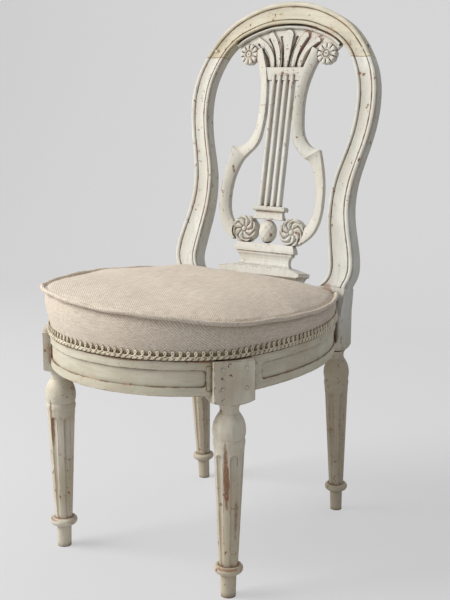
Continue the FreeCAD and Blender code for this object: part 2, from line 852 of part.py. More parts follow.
def slotCutter(foot, top):
    """Slit between two lobes that bends outwards as it climbs."""
    low = Vector(foot[0], 0, yokeTop + foot[1])
    high = Vector(top[0], 0, archTop - top[1])
    rise = high - low
    bend = low + Vector(rise.x * slotBend[0], 0, rise.z * slotBend[1])
    across = Vector(1, 0, 0)
    atFoot, atTop = across * (slotFootWidth / 2), across * (slotTopWidth / 2)
    atBend = (atFoot + atTop) * 0.5
    crown = high + upward * (slotTopWidth / 3)
    wire = Part.Wire([
        arc(low - atFoot, bend - atBend, high - atTop),
        arc(high - atTop, crown, high + atTop),
        arc(high + atTop, bend + atBend, low + atFoot),
        line(low + atFoot, low - atFoot),
    ])
    return prism(wire, Vector(0, frameDepth * 2, 0))


def crownLobe(across, drop, radius):
    """Raised lobe that bends outwards and ends in a round tip."""
    tip = Vector(across, 0, archTop - drop)
    foot = Vector(across * lobeFootShare, 0, yokeTop)
    lean = math.atan2(tip.x - foot.x, tip.z - foot.z) * lobeTurn
    outward = Vector(math.sin(lean), 0, math.cos(lean)) * radius
    side = Vector(math.cos(lean), 0, -math.sin(lean)) * radius
    centre = tip - outward
    rise = centre - foot
    bend = foot + rise * lobeBend[0] - Vector(rise.x * lobeBend[1], 0, 0)
    atFoot = Vector(lobeFootWidth / 2, 0, 0)
    atBend = (atFoot + side) * 0.5
    wire = Part.Wire([
        arc(foot - atFoot, bend - atBend, centre - side),
        arc(centre - side, tip, centre + side),
        arc(centre + side, bend + atBend, foot + atFoot),
        line(foot + atFoot, foot - atFoot),
    ])
    lobe = prism(wire, Vector(0, crownRelief + 1, 0))
    lobe.translate(Vector(0, crownPlateFront - crownRelief, 0))
    return lobe


def lyreCrown(crest, arms, drums):
    """Pierced fan with five lobes, let into the arch of the crest rail."""
    tipX, tipZ = spandrelTip[0], archTop - spandrelTip[1]
    overlap = frameBead
    armLow, armTop = upperArmStations[-2:]
    half = [(armLow[1][0], yokeTop), armLow[0], ((armTop[0][0] + upperRosetteX) / 2, armTop[0][1]),
            (upperRosetteX, upperRosetteHeight), (tipX - overlap, tipZ - overlap), (tipX, tipZ),
            (tipX, archTop + overlap)]
    outline = [Vector(x, 0, z) for x, z in half]
    outline += [Vector(-x, 0, z) for x, z in half[::-1]]
    plate = prism(polygon(outline), Vector(0, crownPlateBack - crownPlateFront, 0))
    plate.translate(Vector(0, crownPlateFront, 0))
    lobes = [crownLobe(*lobe) for lobe in crownLobes]
    lobes += [mirrored(lobe) for lobe in lobes[1:]]
    slots = [slotCutter(foot, top) for foot, top in crownSlots]
    slots += [mirrored(slot) for slot in slots]
    whole = trimmed(fused([plate] + lobes), [crest] + arms + drums + slots)
    return max(whole.Solids, key=lambda solid: solid.Volume)


def returned(profile, fronts, backs):
    """Moulding that returns round its ends.

    profile holds (half width, height); fronts and backs hold depths at the
    same heights. The front view and the side view are crossed.
    """
    heights = [height for width, height in profile]
    widthWire = [Vector(width, 0, height) for width, height in profile]
    widthWire += [Vector(-width, 0, height) for width, height in profile[::-1]]
    sideWire = [Vector(0, depth, height) for depth, height in zip(fronts, heights)]
    sideWire += [Vector(0, depth, height) for depth, height in zip(backs[::-1], heights[::-1])]
    wide = max(width for width, height in profile)
    frontView = prism(polygon(widthWire), Vector(0, max(backs) - min(fronts), 0))
    frontView.translate(Vector(0, min(fronts), 0))
    sideView = prism(polygon(sideWire), Vector(wide * 2, 0, 0))
    sideView.translate(Vector(-wide, 0, 0))
    return frontView.common(sideView)


def lyreShoe():
    """Moulded pedestal that stands on the rear rail and carries the lyre."""
    top = shoeHeight
    capFoot = top - shoeCapHeight
    flangeEdge = shoeFlangeHalf - shoeChamfer
    waistTop = shoeFlangeTop + (capFoot - shoeFlangeTop) / 2
    profile = [
        (shoeBaseHalf, 0), (shoeBaseHalf, shoeFlangeBottom - shoeChamfer * 2),
        (flangeEdge, shoeFlangeBottom - 2), (shoeFlangeHalf, shoeFlangeBottom),
        (shoeFlangeHalf, shoeFlangeTop), (shoeWaistHalf + shoeChamfer * 2.4, shoeFlangeTop + shoeChamfer),
        (shoeWaistHalf + shoeChamfer / 2, shoeFlangeTop + shoeChamfer * 1.6), (shoeWaistHalf, waistTop),
        (shoeWaistHalf, top - shoeWaistHeight),
        (shoeWaistHalf + shoeChamfer / 2, top - shoeWaistHeight + shoeChamfer),
        (shoeTopHalf, capFoot), (shoeTopHalf, top - shoeCapHeight + shoeChamfer * 0.8),
        (shoeCapHalf, top - shoeCapFace - shoeChamfer * 0.8), (shoeCapHalf, top - shoeCapFace),
        (shoeCapHalf - shoeChamfer / 2, top - shoeChamfer), (shoeTopHalf, top),
    ]

    def depths(waist, cap, flange, base):
        values = []
        for width, height in profile:
            if width == shoeBaseHalf:
                values.append(base)
            elif width > shoeCapHalf:
                values.append(flange)
            else:
                share = (width - shoeWaistHalf) / (shoeCapHalf - shoeWaistHalf)
                values.append(waist + (cap - waist) * share)
        return values

    fronts = depths(shoeWaistFront, shoeCapFront, shoeFlangeFront, shoeBaseFront)
    backs = depths(shoeWaistBack, shoeCapBack, shoeFlangeBack, shoeBaseBack)
    return returned(profile, fronts, backs)


def stringBase():
    """Block with a flared foot and a cap, under the strings."""
    low, high = stringBaseBottom, stringBaseBottom + stringBaseHeight
    neckLow, capLow = low + stringBaseFootHeight, high - stringBaseCapHeight
    profile = [
        (stringBaseFoot, low), (stringBaseFoot - 1, low + stringBaseFootHeight / 2),
        (stringBaseNeck + 1, neckLow), (stringBaseNeck, (neckLow + capLow) / 2),
        (stringBaseNeck, capLow - 1),
        (stringBaseCap - 1, capLow), (stringBaseCap, capLow + 2), (stringBaseCap, high - 3),
        (stringBaseCap - 1.5, high),
    ]
    fronts = [stringBaseFront + stringBaseFoot - width for width, height in profile]
    backs = [stringBaseBack - stringBaseFoot + width for width, height in profile]
    return returned(profile, fronts, backs)


def lyreBall():
    """Turned bead between the shoe and the base of the strings."""
    middle = (shoeHeight + stringBaseBottom) / 2
    ball = Part.makeSphere(0.5)
    stretch = FreeCAD.Matrix()
    stretch.scale(ballWidth, ballDepth, ballHeight)
    bead = ball.transformGeometry(stretch)
    bead.translate(Vector(0, lyreMiddleDepth, middle))
    post = Part.makeCylinder(ballPad, stringBaseBottom - shoeHeight,
                             Vector(0, lyreMiddleDepth, shoeHeight), upward)
    return bead.fuse(post)


# Upholstery

def weltHeight(x, y):
    """Height of the welt: high in front, lower along the sides, tilted across."""
    tilt = -weltTilt * x
    if y < seatCornerY:
        share = (y - seatCornerY) / (-seatFront - seatCornerY)
        return tilt + weltCorner + (weltFront - weltCorner) * share
    if y < seatWidestY:
        share = (y - seatCornerY) / (seatWidestY - seatCornerY)
        return tilt + weltCorner + (weltSide - weltCorner) * math.sin(share * math.pi / 2)
    share = (y - seatWidestY) / (coverRear - seatWidestY)
    tilt += (weltTilt - weltRearTilt) * x * share
    return tilt + weltSide + (weltRear - weltSide) * share


def cushionSolid(inset, bottom):
    """Body of the seat: band, welt line and crown, all drawn in by inset."""
    rear = coverRear - inset
    grow = -coverInset - inset
    bandTop = railTop + gimpHeight + gimpThickness

    def between(share):
        return lambda x, y: bandTop + (weltHeight(x, y) - bandTop) * share

    def crowned(share):
        rise = 1 - share ** crownPower
        return lambda x, y: weltHeight(x, y) * (1 - rise) + seatTop * rise + weltRadius * share - inset

    sections = [
        planWire(grow, rear, lambda x, y: bottom),
        planWire(grow + bandFoot, rear, lambda x, y: bandTop),
    ]
    for share, swell in bandSwells:
        sections.append(planWire(grow + bandBulge * swell, rear, between(share), 1, seatShift * share))
    for share in crownShares:
        sections.append(planWire(grow, rear, crowned(share), share, seatShift))
    sections.append(planWire(grow, rear, lambda x, y: seatTop - inset, crownShares[-1] / 2, seatShift))
    return Part.makeLoft(sections, True, True)


def pathTube(points, radius):
    """Tube lofted through circles square to a path of points."""
    rings = []
    for index, point in enumerate(points):
        before = points[max(index - 1, 0)]
        after = points[min(index + 1, len(points) - 1)]
        circle = Part.Circle(point, after - before, radius)
        rings.append(Part.Wire(circle.toShape()))
    return Part.makeLoft(rings, True, False)


def weltPath(grow):
    """Points of the welt, from one stile round the front to the other."""
    points = []
    for edge in planEdges(grow, coverRear - 2, weltHeight, 1, seatShift):
        count = 7
        first, last = edge.FirstParameter, edge.LastParameter
        for step in range(count):
            point = edge.valueAt(first + (last - first) * (step + 0.5) / count)
            points.append(Vector(point.x, point.y, weltHeight(point.x - seatShift, point.y)))
    return points


def tack(x, y, top):
    head = Part.makeCylinder(tackHeadRadius, tackHeadHeight, Vector(x, y, top), upward)
    shank = Part.makeCylinder(tackRadius, tackLength, Vector(x, y, top - tackLength), upward)
    return head.fuse(shank).removeSplitter()


def webbing():
    """Two crossed layers of webbing and the tacks at their ends."""
    lower = railTop
    upper = lower + webThickness + layerGap
    half = webWidth / 2
    innerLine = planSolid(-railThickness + webLap, rearRailFront + webRearLap, lower - 1, railTop * 2)
    lengthwise, crosswise, tacks = [], [], []
    for x in lengthwiseWebs:
        strip = box(Vector(x - half, -seatFront, lower),
                    Vector(x + half, rearRailBack, lower + webThickness))
        lengthwise.append(strip.common(innerLine))
        frontEnd = frontY(abs(x) + tackSpread, -railThickness + webLap) + tackEdge
        for spread in (-tackSpread, 0, tackSpread):
            tacks.append((x + spread, frontEnd, lower + webThickness))
            tacks.append((x + spread, rearRailFront + webRearLap - tackEdge, lower + webThickness))
    for y in crosswiseWebs:
        strip = box(Vector(-seatWidestX, y - half, upper),
                    Vector(seatWidestX, y + half, upper + webThickness))
        crosswise.append(strip.common(innerLine))
        for spread in (-tackSpread, 0, tackSpread):
            x = sideX(y + spread, -railThickness + webLap) - tackEdge
            tacks.append((x, y + spread, upper + webThickness))
            tacks.append((-x, y + spread, upper + webThickness))
    return lengthwise, crosswise, [tack(*place) for place in tacks]


def chair():
    """All pieces, by the name of their node."""
    pieces = {}

    # Joinery that several pieces share
    frontTenons = [frontTenon(-1), frontTenon(1)]
    sideTenon, rearTenon = rearTenons()
    rightPegs = frontLegPegs() + rearPegs()
    pegs = rightPegs + [mirrored(peg) for peg in rightPegs]
    plainBlock = legBlockPrism((-legBlockWidth / 2, legBlockWidth / 2), (-legBlockBack, legBlockFace),
                               (railBottom - railHeight, railTop + railHeight))
    rearBlocks = [rearBlock(), mirrored(rearBlock())]

    # Seat frame
    front, side = seatRails([plainBlock, mirrored(plainBlock)] + rearBlocks)
    front = fused([front, frontTenons[0], mirrored(frontTenons[0])])
    side = fused([side, frontTenons[1], sideTenon])
    rear = trimmed(rearRail(), [side, mirrored(side)])
    rear = fused([rear, rearTenon, mirrored(rearTenon)])

    # Legs
    leg = turnedLeg(1.0, legBlockTurn - 90)
    leg.translate(Vector(frontLegX, 0, 0))
    floor = box(Vector(0, -seatFront, -railTop), Vector(seatWidestX * 2, seatFront, 0))
    leg = fused([legBlock(), leg.cut(floor)])
    leg = leg.cut(frontTenons)

    # Back frame, parted at the crest joints
    oval = backFrame()
    far = seatWidestX * 2
    above = box(Vector(-far, -far, crestJoint), Vector(far, far, far * 2))
    crest = oval.common(above)
    stile = oval.cut(above).common(box(Vector(0, -far, 0), Vector(far, far, far * 2)))
    crestPegs = [crestPeg(), mirrored(crestPeg())]
    tenons = [crestTenon(), mirrored(crestTenon())]
    crest = crest.cut(tenons + crestPegs)
    stile = fused([stile, crestTenon()]).cut(crestPegs)
    post = fused([rearBlock(), postKnee(), leaned(stile), rearLeg()])
    post = post.cut([sideTenon, rearTenon])

    # Screws hold the corner blocks against the rails
    rails = [front, side, mirrored(side), rear]
    blocksFor = {
        "front": (Vector(seatCornerX - railThickness, seatCornerY + railThickness, 0),
                  Vector(-math.sqrt(0.5), math.sqrt(0.5), 0)),
        "rear": (Vector(sideX(rearRailFront) - railThickness, rearRailFront, 0),
                 Vector(-math.sqrt(0.5), -math.sqrt(0.5), 0)),
    }
    screws = []
    cornerBlocks = {}
    for place, (corner, way) in blocksFor.items():
        block = cornerBlock(corner, way, rails + [leg, mirrored(leg), post, mirrored(post)])
        middle = block.BoundBox.Center
        across = Vector(-way.y, way.x, 0)
        for spread in (-1, 1):
            aim = way * -screwSlant + across * spread
            aim.normalize()
            start = Vector(middle.x, middle.y, middle.z) + way * screwInset + across * spread * screwSpread
            screws.append(screw(start, aim))
        cornerBlocks[place] = block

    lengthwise, crosswise, tacks = webbing()
    rightScrews = Part.makeCompound(screws)
    leftScrews = mirrored(rightScrews)
    allTacks = Part.makeCompound(tacks)
    allPegs = Part.makeCompound(pegs)
    allScrews = Part.makeCompound([rightScrews, leftScrews])
    holes = [allPegs, allScrews, allTacks]

    pieces["front_rail"] = front.cut(holes)
    pieces["side_rail_right"] = side.cut(holes)
    pieces["side_rail_left"] = mirrored(side).cut(holes)
    pieces["rear_rail"] = rear.cut(holes)
    pieces["front_leg_right"] = leg.cut(holes)
    pieces["front_leg_left"] = mirrored(leg).cut(holes)
    pieces["rear_post_right"] = post.cut(holes)
    pieces["rear_post_left"] = mirrored(post).cut(holes)
    pieces["crest_rail"] = leaned(crest)
    pieces["rail_joint_pegs"] = allPegs
    pieces["crest_joint_pegs"] = leaned(Part.makeCompound(crestPegs))
    for place, block in cornerBlocks.items():
        pieces["corner_block_%s_right" % place] = block.cut(holes)
        pieces["corner_block_%s_left" % place] = mirrored(block).cut(holes)
    pieces["corner_block_screws"] = allScrews

    # Lyre
    lowerHeight = shoeHeight + lowerRosetteRadius - lowerRosetteSeat
    shoe = lyreShoe()
    drums = [rosetteDrum(upperRosetteX, upperRosetteHeight, upperRosetteRadius, 0, frameDepth * 2),
             rosetteDrum(lowerRosetteX, lowerHeight, lowerRosetteRadius, 0, frameDepth * 2)]
    arm = lyreArm(drums)
    arms = [arm, mirrored(arm)]
    yokeHalf = sum(edge[0] for edge in upperArmStations[-2]) / 2
    yoke = box(Vector(-yokeHalf, yokeFront, yokeBottom), Vector(yokeHalf, yokeBack, yokeTop))
    yoke = trimmed(yoke, arms)
    yoke = min(yoke.Solids, key=lambda solid: abs(solid.CenterOfMass.x))
    upper = rosette(upperRosetteX, upperRosetteHeight, upperRosetteRadius, upperRosettePetals,
                    upperRosetteFront, upperRosetteBack)
    lower = rosette(lowerRosetteX, lowerHeight, lowerRosetteRadius, lowerRosettePetals,
                    lowerRosetteFront, lowerRosetteBack).cut(shoe)
    crown = lyreCrown(crest, arms, [drums[0], mirrored(drums[0])])
    base = stringBase().cut([lower, mirrored(lower)])
    shoe = leaned(shoe).cut([pieces["rear_rail"], box(Vector(-far, 0, 0), Vector(far, far, railTop))])

    pieces["lyre_shoe"] = shoe
    pieces["string_base"] = leaned(base)
    pieces["lyre_ball"] = leaned(lyreBall())
    pieces["yoke_bar"] = leaned(yoke)
    pieces["lyre_crown"] = leaned(crown)
    pieces["lyre_arm_right"] = leaned(arm)
    pieces["lyre_arm_left"] = leaned(mirrored(arm))
    pieces["upper_rosette_right"] = leaned(upper)
    pieces["upper_rosette_left"] = leaned(mirrored(upper))
    pieces["lower_rosette_right"] = leaned(lower)
    pieces["lower_rosette_left"] = leaned(mirrored(lower))
    for index in range(stringCount):
        x = (index - (stringCount - 1) / 2) * stringPitch
        pieces["lyre_string_%d" % (index + 1)] = leaned(lyreString(x))

    # Upholstery, from the webbing up
    hessianBottom = railTop + 2 * webThickness + layerGap + tackHeadHeight + layerGap
    padBottom = hessianBottom + hessianThickness + layerGap
    pieces["webbing_lengthwise"] = Part.makeCompound(lengthwise).cut(allTacks)
    pieces["webbing_crosswise"] = Part.makeCompound(crosswise).cut(allTacks)
    pieces["webbing_tacks"] = allTacks
    inner = -coverInset - coverThickness - softGap - 2
    pieces["hessian"] = planSolid(inner, coverRear - coverThickness - 2, hessianBottom,
                                  hessianBottom + hessianThickness)
    cover = cushionSolid(0, railTop + layerGap)
    hollow = cushionSolid(coverThickness, railTop - 2)
    pieces["seat_cover"] = cover.cut(hollow)
    below = box(Vector(-far, -far, 0), Vector(far, far, padBottom))
    pieces["seat_stuffing"] = cushionSolid(coverThickness + softGap, railTop - 2).cut(below)
    weltReach = bandBulge * bandSwells[-1][1] - coverInset + weltRadius + softGap
    pieces["seat_welt"] = pathTube(weltPath(weltReach), weltRadius)
    gimpBottom = railTop + 1
    gimpGrow = -coverInset + bandFoot + softGap
    gimp = band(gimpGrow + gimpThickness, gimpThickness, coverRear - 2, gimpBottom, gimpBottom + gimpHeight)
    openRear = box(Vector(-far, coverRear - 3, 0), Vector(far, far, far * 2))
    pieces["seat_gimp"] = gimp.cut(openRear)
    return pieces


def build():
    os.makedirs("parts", exist_ok=True)
    pieces = chair()
    whole = FreeCAD.BoundBox()
    for shape in pieces.values():
        whole.add(shape.optimalBoundingBox(False, False))
    shift = Vector(-whole.Center.x, -whole.Center.y, -whole.ZMin)
    for name, shape in pieces.items():
        moved = shape.copy()
        moved.translate(shift)
        moved.exportStep("parts/%s.step" % name)
        print(name, len(moved.Solids), round(moved.Volume), moved.isValid())
    print("box", [round(v, 2) for v in (whole.XLength, whole.YLength, whole.ZLength)], "shift", shift)


build()
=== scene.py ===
import math

import bmesh
import bpy
import numpy as np
from mathutils import Matrix, Vector


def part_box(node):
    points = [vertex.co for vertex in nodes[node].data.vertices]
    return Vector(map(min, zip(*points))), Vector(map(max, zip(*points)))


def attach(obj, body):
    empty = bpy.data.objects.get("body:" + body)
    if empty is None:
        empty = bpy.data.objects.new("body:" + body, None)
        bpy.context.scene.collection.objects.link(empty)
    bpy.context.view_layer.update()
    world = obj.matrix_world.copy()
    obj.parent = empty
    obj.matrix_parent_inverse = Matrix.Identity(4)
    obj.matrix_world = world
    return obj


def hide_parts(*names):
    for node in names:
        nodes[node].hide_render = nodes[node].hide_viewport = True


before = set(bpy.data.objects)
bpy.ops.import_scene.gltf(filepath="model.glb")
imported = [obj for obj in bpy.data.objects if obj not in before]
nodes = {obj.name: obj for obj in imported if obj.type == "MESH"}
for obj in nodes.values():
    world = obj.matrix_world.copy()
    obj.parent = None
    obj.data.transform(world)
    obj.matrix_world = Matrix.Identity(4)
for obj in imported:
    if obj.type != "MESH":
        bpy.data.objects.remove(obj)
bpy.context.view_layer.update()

scene = bpy.context.scene


# Where the chair's own centre line and the line of its front legs lie

railLow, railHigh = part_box("rear_rail")
chairFrame = {
    "middleX": (railLow.x + railHigh.x) / 2,
    "frontLegLine": railLow.y - 0.350,
    "railTop": railHigh.z,
    "backFront": 0.364,          # foot of the leaning back, behind the front legs
    "backRake": math.radians(10.7),
}


def inChair(x, y, z):
    return Vector((x + chairFrame["middleX"], y + chairFrame["frontLegLine"], z))


def inBack(x, depth, height):
    # the back's own plane: across, backwards and up along the lean
    lean = chairFrame["backRake"]
    y = chairFrame["backFront"] + height * math.sin(lean) + depth * math.cos(lean)
    z = chairFrame["railTop"] + height * math.cos(lean) - depth * math.sin(lean)
    return inChair(x, y, z)


# Small mesh tools

def makePiece(name, points, faces, material, smooth=True, replaced=()):
    mesh = bpy.data.meshes.new(name)
    mesh.from_pydata([tuple(p) for p in points], [], [tuple(int(i) for i in f) for f in faces])
    mesh.validate()
    piece = bpy.data.objects.new(name, mesh)
    scene.collection.objects.link(piece)
    faceOutwards(mesh)
    if smooth:
        mesh.polygons.foreach_set("use_smooth", [True] * len(mesh.polygons))
    mesh.materials.append(material)
    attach(piece, "root")
    for node in replaced:
        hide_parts(node)
    return piece


def faceOutwards(mesh):
    work = bmesh.new()
    work.from_mesh(mesh)
    bmesh.ops.recalc_face_normals(work, faces=work.faces)
    work.to_mesh(mesh)
    work.free()


def gridFaces(rows, columns, closed, start=0):
    # quads between rows of points; a closed row joins its last point to its first
    faces = []
    span = columns if closed else columns - 1
    for row in range(rows - 1):
        for column in range(span):
            after = (column + 1) % columns
            low, high = start + row * columns, start + (row + 1) * columns
            faces.append((low + column, low + after, high + after, high + column))
    return faces


def pathFrames(path):
    # a travelling pair of directions square to the path, with no sudden twist
    ahead = np.gradient(path, axis=0)
    ahead /= np.linalg.norm(ahead, axis=1)[:, None]
    side = np.cross(ahead[0], (0.0, 0.0, 1.0))
    sides = []
    for direction in ahead:
        side = side - direction * np.dot(side, direction)
        side /= np.linalg.norm(side)
        sides.append(side)
    sides = np.array(sides)
    return sides, np.cross(sides, ahead)


def tube(path, radius, corners):
    path = np.asarray(path, float)
    sides, ups = pathFrames(path)
    radii = np.broadcast_to(np.asarray(radius, float), (len(path),))
    turns = np.arange(corners) * 2 * math.pi / corners
    ring = np.cos(turns)[None, :, None] * sides[:, None, :] + np.sin(turns)[None, :, None] * ups[:, None, :]
    points = (path[:, None, :] + ring * radii[:, None, None]).reshape(-1, 3)
    faces = gridFaces(len(path), corners, True)
    faces.append(tuple(range(corners)))
    faces.append(tuple(len(points) - corners + i for i in range(corners)))
    return points, faces


def joinParts(parts):
    points, faces, start = [], [], 0
    for somePoints, someFaces in parts:
        points.extend(somePoints)
        faces.extend([tuple(i + start for i in face) for face in someFaces])
        start += len(somePoints)
    return points, faces


def smoothStep(value, low, high):
    share = np.clip((np.asarray(value, float) - low) / (high - low), 0, 1)
    return share * share * (3 - 2 * share)


# Shader sums written as sums

class Wire:
    def __init__(self, tree, socket):
        self.tree = tree
        self.socket = socket

    def sumWith(self, operation, first, second):
        node = self.tree.nodes.new("ShaderNodeMath")
        node.operation = operation
        for place, value in enumerate((first, second)):
            if isinstance(value, Wire):
                self.tree.links.new(value.socket, node.inputs[place])
            elif value is not None:
                node.inputs[place].default_value = value
        return Wire(self.tree, node.outputs[0])

    def __add__(self, other):
        return self.sumWith("ADD", self, other)

    def __radd__(self, other):
        return self.sumWith("ADD", other, self)

    def __sub__(self, other):
        return self.sumWith("SUBTRACT", self, other)

    def __rsub__(self, other):
        return self.sumWith("SUBTRACT", other, self)

    def __mul__(self, other):
        return self.sumWith("MULTIPLY", self, other)

    def __rmul__(self, other):
        return self.sumWith("MULTIPLY", other, self)

    def __truediv__(self, other):
        return self.sumWith("DIVIDE", self, other)

    def __rtruediv__(self, other):
        return self.sumWith("DIVIDE", other, self)

    def __pow__(self, other):
        return self.sumWith("POWER", self, other)

    def __gt__(self, other):
        return self.sumWith("GREATER_THAN", self, other)

    def __lt__(self, other):
        return self.sumWith("LESS_THAN", self, other)

    def sine(self):
        return self.sumWith("SINE", self, None)

    def least(self, other):
        return self.sumWith("MINIMUM", self, other)

    def most(self, other):
        return self.sumWith("MAXIMUM", self, other)

    def size(self):
        return self.sumWith("ABSOLUTE", self, None)

    def limited(self):
        return self.least(1.0).most(0.0)


class Finish:
    # one material and its nodes
    def __init__(self, name):
        self.material = bpy.data.materials.new(name)
        self.material.use_nodes = True
        self.tree = self.material.node_tree
        self.tree.nodes.clear()
        self.output = self.tree.nodes.new("ShaderNodeOutputMaterial")
        self.shader = self.tree.nodes.new("ShaderNodeBsdfPrincipled")
        self.tree.links.new(self.shader.outputs[0], self.output.inputs[0])

    def node(self, kind, settings=None, sockets=None, take=0):
        made = self.tree.nodes.new("ShaderNode" + kind)
        for setting, value in (settings or {}).items():
            if setting == "stops":
                self.setStops(made.color_ramp, value)
            else:
                setattr(made, setting, value)
        for socket, value in (sockets or {}).items():
            self.feed(made.inputs[socket], value)
        return Wire(self.tree, made.outputs[take])

    def feed(self, socket, value):
        if isinstance(value, Wire):
            self.tree.links.new(value.socket, socket)
        else:
            socket.default_value = value

    def setStops(self, ramp, stops):
        while len(ramp.elements) < len(stops):
            ramp.elements.new(0.5)
        for element, (place, shade) in zip(ramp.elements, stops):
            element.position = place
            element.color = (shade, shade, shade, 1) if isinstance(shade, float) else (*shade, 1)

    def give(self, **values):
        for socket, value in values.items():
            self.feed(self.shader.inputs[socket.replace("_", " ")], value)

    def place(self):
        return self.node("TexCoord", take="Object")

    def stretched(self, vector, scale, turn=(0, 0, 0)):
        return self.node("Mapping", sockets={"Vector": vector, "Scale": scale, "Rotation": turn})

    def axis(self, vector, letter):
        return self.node("SeparateXYZ", sockets={"Vector": vector}, take=letter)

    def noise(self, vector, scale, detail=3.0, rough=0.55, distort=0.0):
        return self.node("TexNoise", sockets={"Vector": vector, "Scale": scale, "Detail": detail,
                                              "Roughness": rough, "Distortion": distort})

    def between(self, value, low, high, start=0.0, end=1.0):
        return self.node("MapRange", {"interpolation_type": "SMOOTHSTEP"},
                         {"Value": value, "From Min": low, "From Max": high, "To Min": start, "To Max": end})

    def blend(self, share, first, second):
        made = self.tree.nodes.new("ShaderNodeMix")
        made.data_type = "RGBA"
        for place, value in ((0, share), (6, first), (7, second)):
            if isinstance(value, tuple) and len(value) == 3:
                value = (*value, 1)
            self.feed(made.inputs[place], value)
        return Wire(self.tree, made.outputs[2])

    def shaded(self, colour, grey):
        made = self.tree.nodes.new("ShaderNodeVectorMath")
        made.operation = "SCALE"
        self.feed(made.inputs[0], colour)
        self.feed(made.inputs["Scale"], grey)
        return Wire(self.tree, made.outputs[0])

    def hollows(self, distance):
        return self.node("AmbientOcclusion", {"samples": 6}, {"Distance": distance}, take="AO")

    def rounded(self, radius):
        return self.node("Bevel", {"samples": 6}, {"Radius": radius})

    def stain(self, place, ragged, spot, reach, share):
        # a worn spot with ragged edges round one place
        made = self.tree.nodes.new("ShaderNodeVectorMath")
        made.operation = "SUBTRACT"
        self.feed(made.inputs[0], place)
        made.inputs[1].default_value = spot
        away = Wire(self.tree, made.outputs[0])
        apart = 0.0
        for letter, size in zip("XYZ", reach):
            apart = apart + (self.axis(away, letter) / size) ** 2
        return self.between(apart + (ragged - 0.5) * 3.0, 1.25, 0.45) * share

    def edges(self, radius):
        # how far the rounded normal leans from the plain one
        rounded = self.rounded(radius)
        plain = self.node("NewGeometry", take="Normal")
        made = self.tree.nodes.new("ShaderNodeVectorMath")
        made.operation = "DOT_PRODUCT"
        self.feed(made.inputs[0], rounded)
        self.feed(made.inputs[1], plain)
        return 1 - Wire(self.tree, made.outputs["Value"])

    def bumped(self, height, strength, distance, normal=None):
        sockets = {"Height": height, "Strength": strength, "Distance": distance}
        if normal is not None:
            sockets["Normal"] = normal
        return self.node("Bump", sockets=sockets)


# Old distemper paint over birch

paintLook = {
    "pale": (0.680, 0.666, 0.608),
    "warm": (0.590, 0.560, 0.480),
    "cool": (0.500, 0.500, 0.455),
    # near-black painted shade for hollows and gaps, mixed with real grime there
    "shadeAndGrime": (0.070, 0.048, 0.026),
    "rust": (0.330, 0.120, 0.045),
    "darkWood": (0.070, 0.036, 0.020),
    "shadingRadius": 0.0008,
    "wearRadius": 0.0022,
    "hollowReach": 0.0075,
    "roughness": 0.58,
    "lowTint": 0.75,
}

railLook = dict(paintLook, pale=(0.620, 0.575, 0.455), warm=(0.500, 0.440, 0.310), cool=(0.430, 0.400, 0.305),
                lowTint=0.0)
legLook = dict(paintLook, pale=(0.690, 0.640, 0.535), warm=(0.540, 0.470, 0.345), cool=(0.480, 0.440, 0.345),
               hollowReach=0.012, lowTint=0.0)


def makePaint(name, look, wear=1.0, streak=(1, 1, 1), marks=()):
    finish = Finish(name)
    place = finish.place()
    broad = finish.noise(place, 6.0, 3.0)
    brushed = finish.noise(finish.stretched(place, streak), 130.0, 3.0, 0.6)
    fine = finish.noise(place, 420.0, 3.0, 0.7)
    patchy = finish.noise(place, 38.0, 4.0, 0.65)
    smudge = finish.noise(place, 17.0, 4.0, 0.6)
    rounded = finish.rounded(look["shadingRadius"])
    edge = finish.edges(look["wearRadius"])
    open_ = finish.hollows(look["hollowReach"])

    base = finish.blend(finish.between(broad, 0.40, 0.62), look["pale"], look["warm"])
    base = finish.blend(finish.between(brushed, 0.35, 0.75, 0.0, 0.6), base, look["cool"])
    base = finish.blend(finish.between(smudge, 0.52, 0.72, 0.0, 0.45), base, look["warm"])
    low = finish.between(finish.axis(place, "Z"), 0.40, 0.28) * look["lowTint"]
    base = finish.blend(low, base, (0.420, 0.350, 0.240))
    base = finish.shaded(base, 0.86 + fine * 0.26)
    # painted shade and real dirt: hollows and gaps found by ambient occlusion are darkened, near black where
    # shade falls in them and rust-brown where old dirt lies in the grooves
    shadeAndDirt = finish.between(open_, 0.93, 0.42) * finish.between(patchy, 0.25, 0.60, 0.55, 1.0)
    rusty = finish.between(finish.noise(place, 24.0, 3.0), 0.50, 0.64) * wear
    shadeAndGrimeTone = finish.blend(rusty.limited() * 0.8, look["shadeAndGrime"], look["rust"])
    base = finish.blend((shadeAndDirt * 0.95).limited(), base, shadeAndGrimeTone)

    # paint rubbed through along the edges, and a few knocks and worm holes
    sharp = finish.between(edge, 0.010, 0.075)
    rubbed = sharp * finish.between(patchy, 0.515 - 0.03 * wear, 0.600 - 0.03 * wear)
    rubbed = rubbed * finish.between(open_, 0.25, 0.60)
    knock = finish.between(finish.noise(place, 88.0, 4.0, 0.72), 0.625, 0.655)
    knock = knock * finish.between(broad, 0.42, 0.54) * wear
    speck = finish.node("TexVoronoi", {"feature": "F1"}, {"Vector": place, "Scale": 70.0})
    speck = finish.between(speck, 0.100, 0.060) * finish.between(patchy, 0.48, 0.58)
    bare = (rubbed * 0.85).most(knock * 0.8).limited()
    for mark in marks:
        bare = bare.most(finish.stain(place, patchy, *mark))
    woodTone = finish.blend(finish.between(fine, 0.38, 0.66), look["rust"], look["darkWood"])
    base = finish.blend(bare.limited(), base, woodTone)
    base = finish.blend((speck * 0.85).limited(), base, look["darkWood"])

    height = brushed * 0.7 + fine * 0.5 + patchy * 0.6 - bare * 1.8 - speck * 2.0
    finish.give(Base_Color=base, Roughness=finish.between(fine, 0.3, 0.7, look["roughness"] - 0.09,
                                                          look["roughness"] + 0.10),
                Normal=finish.bumped(height, 0.45, 0.0007, rounded))
    finish.shader.inputs["Specular IOR Level"].default_value = 0.4
    return finish.material


# Places where the photographed paint is worn through: middle, half widths, strength

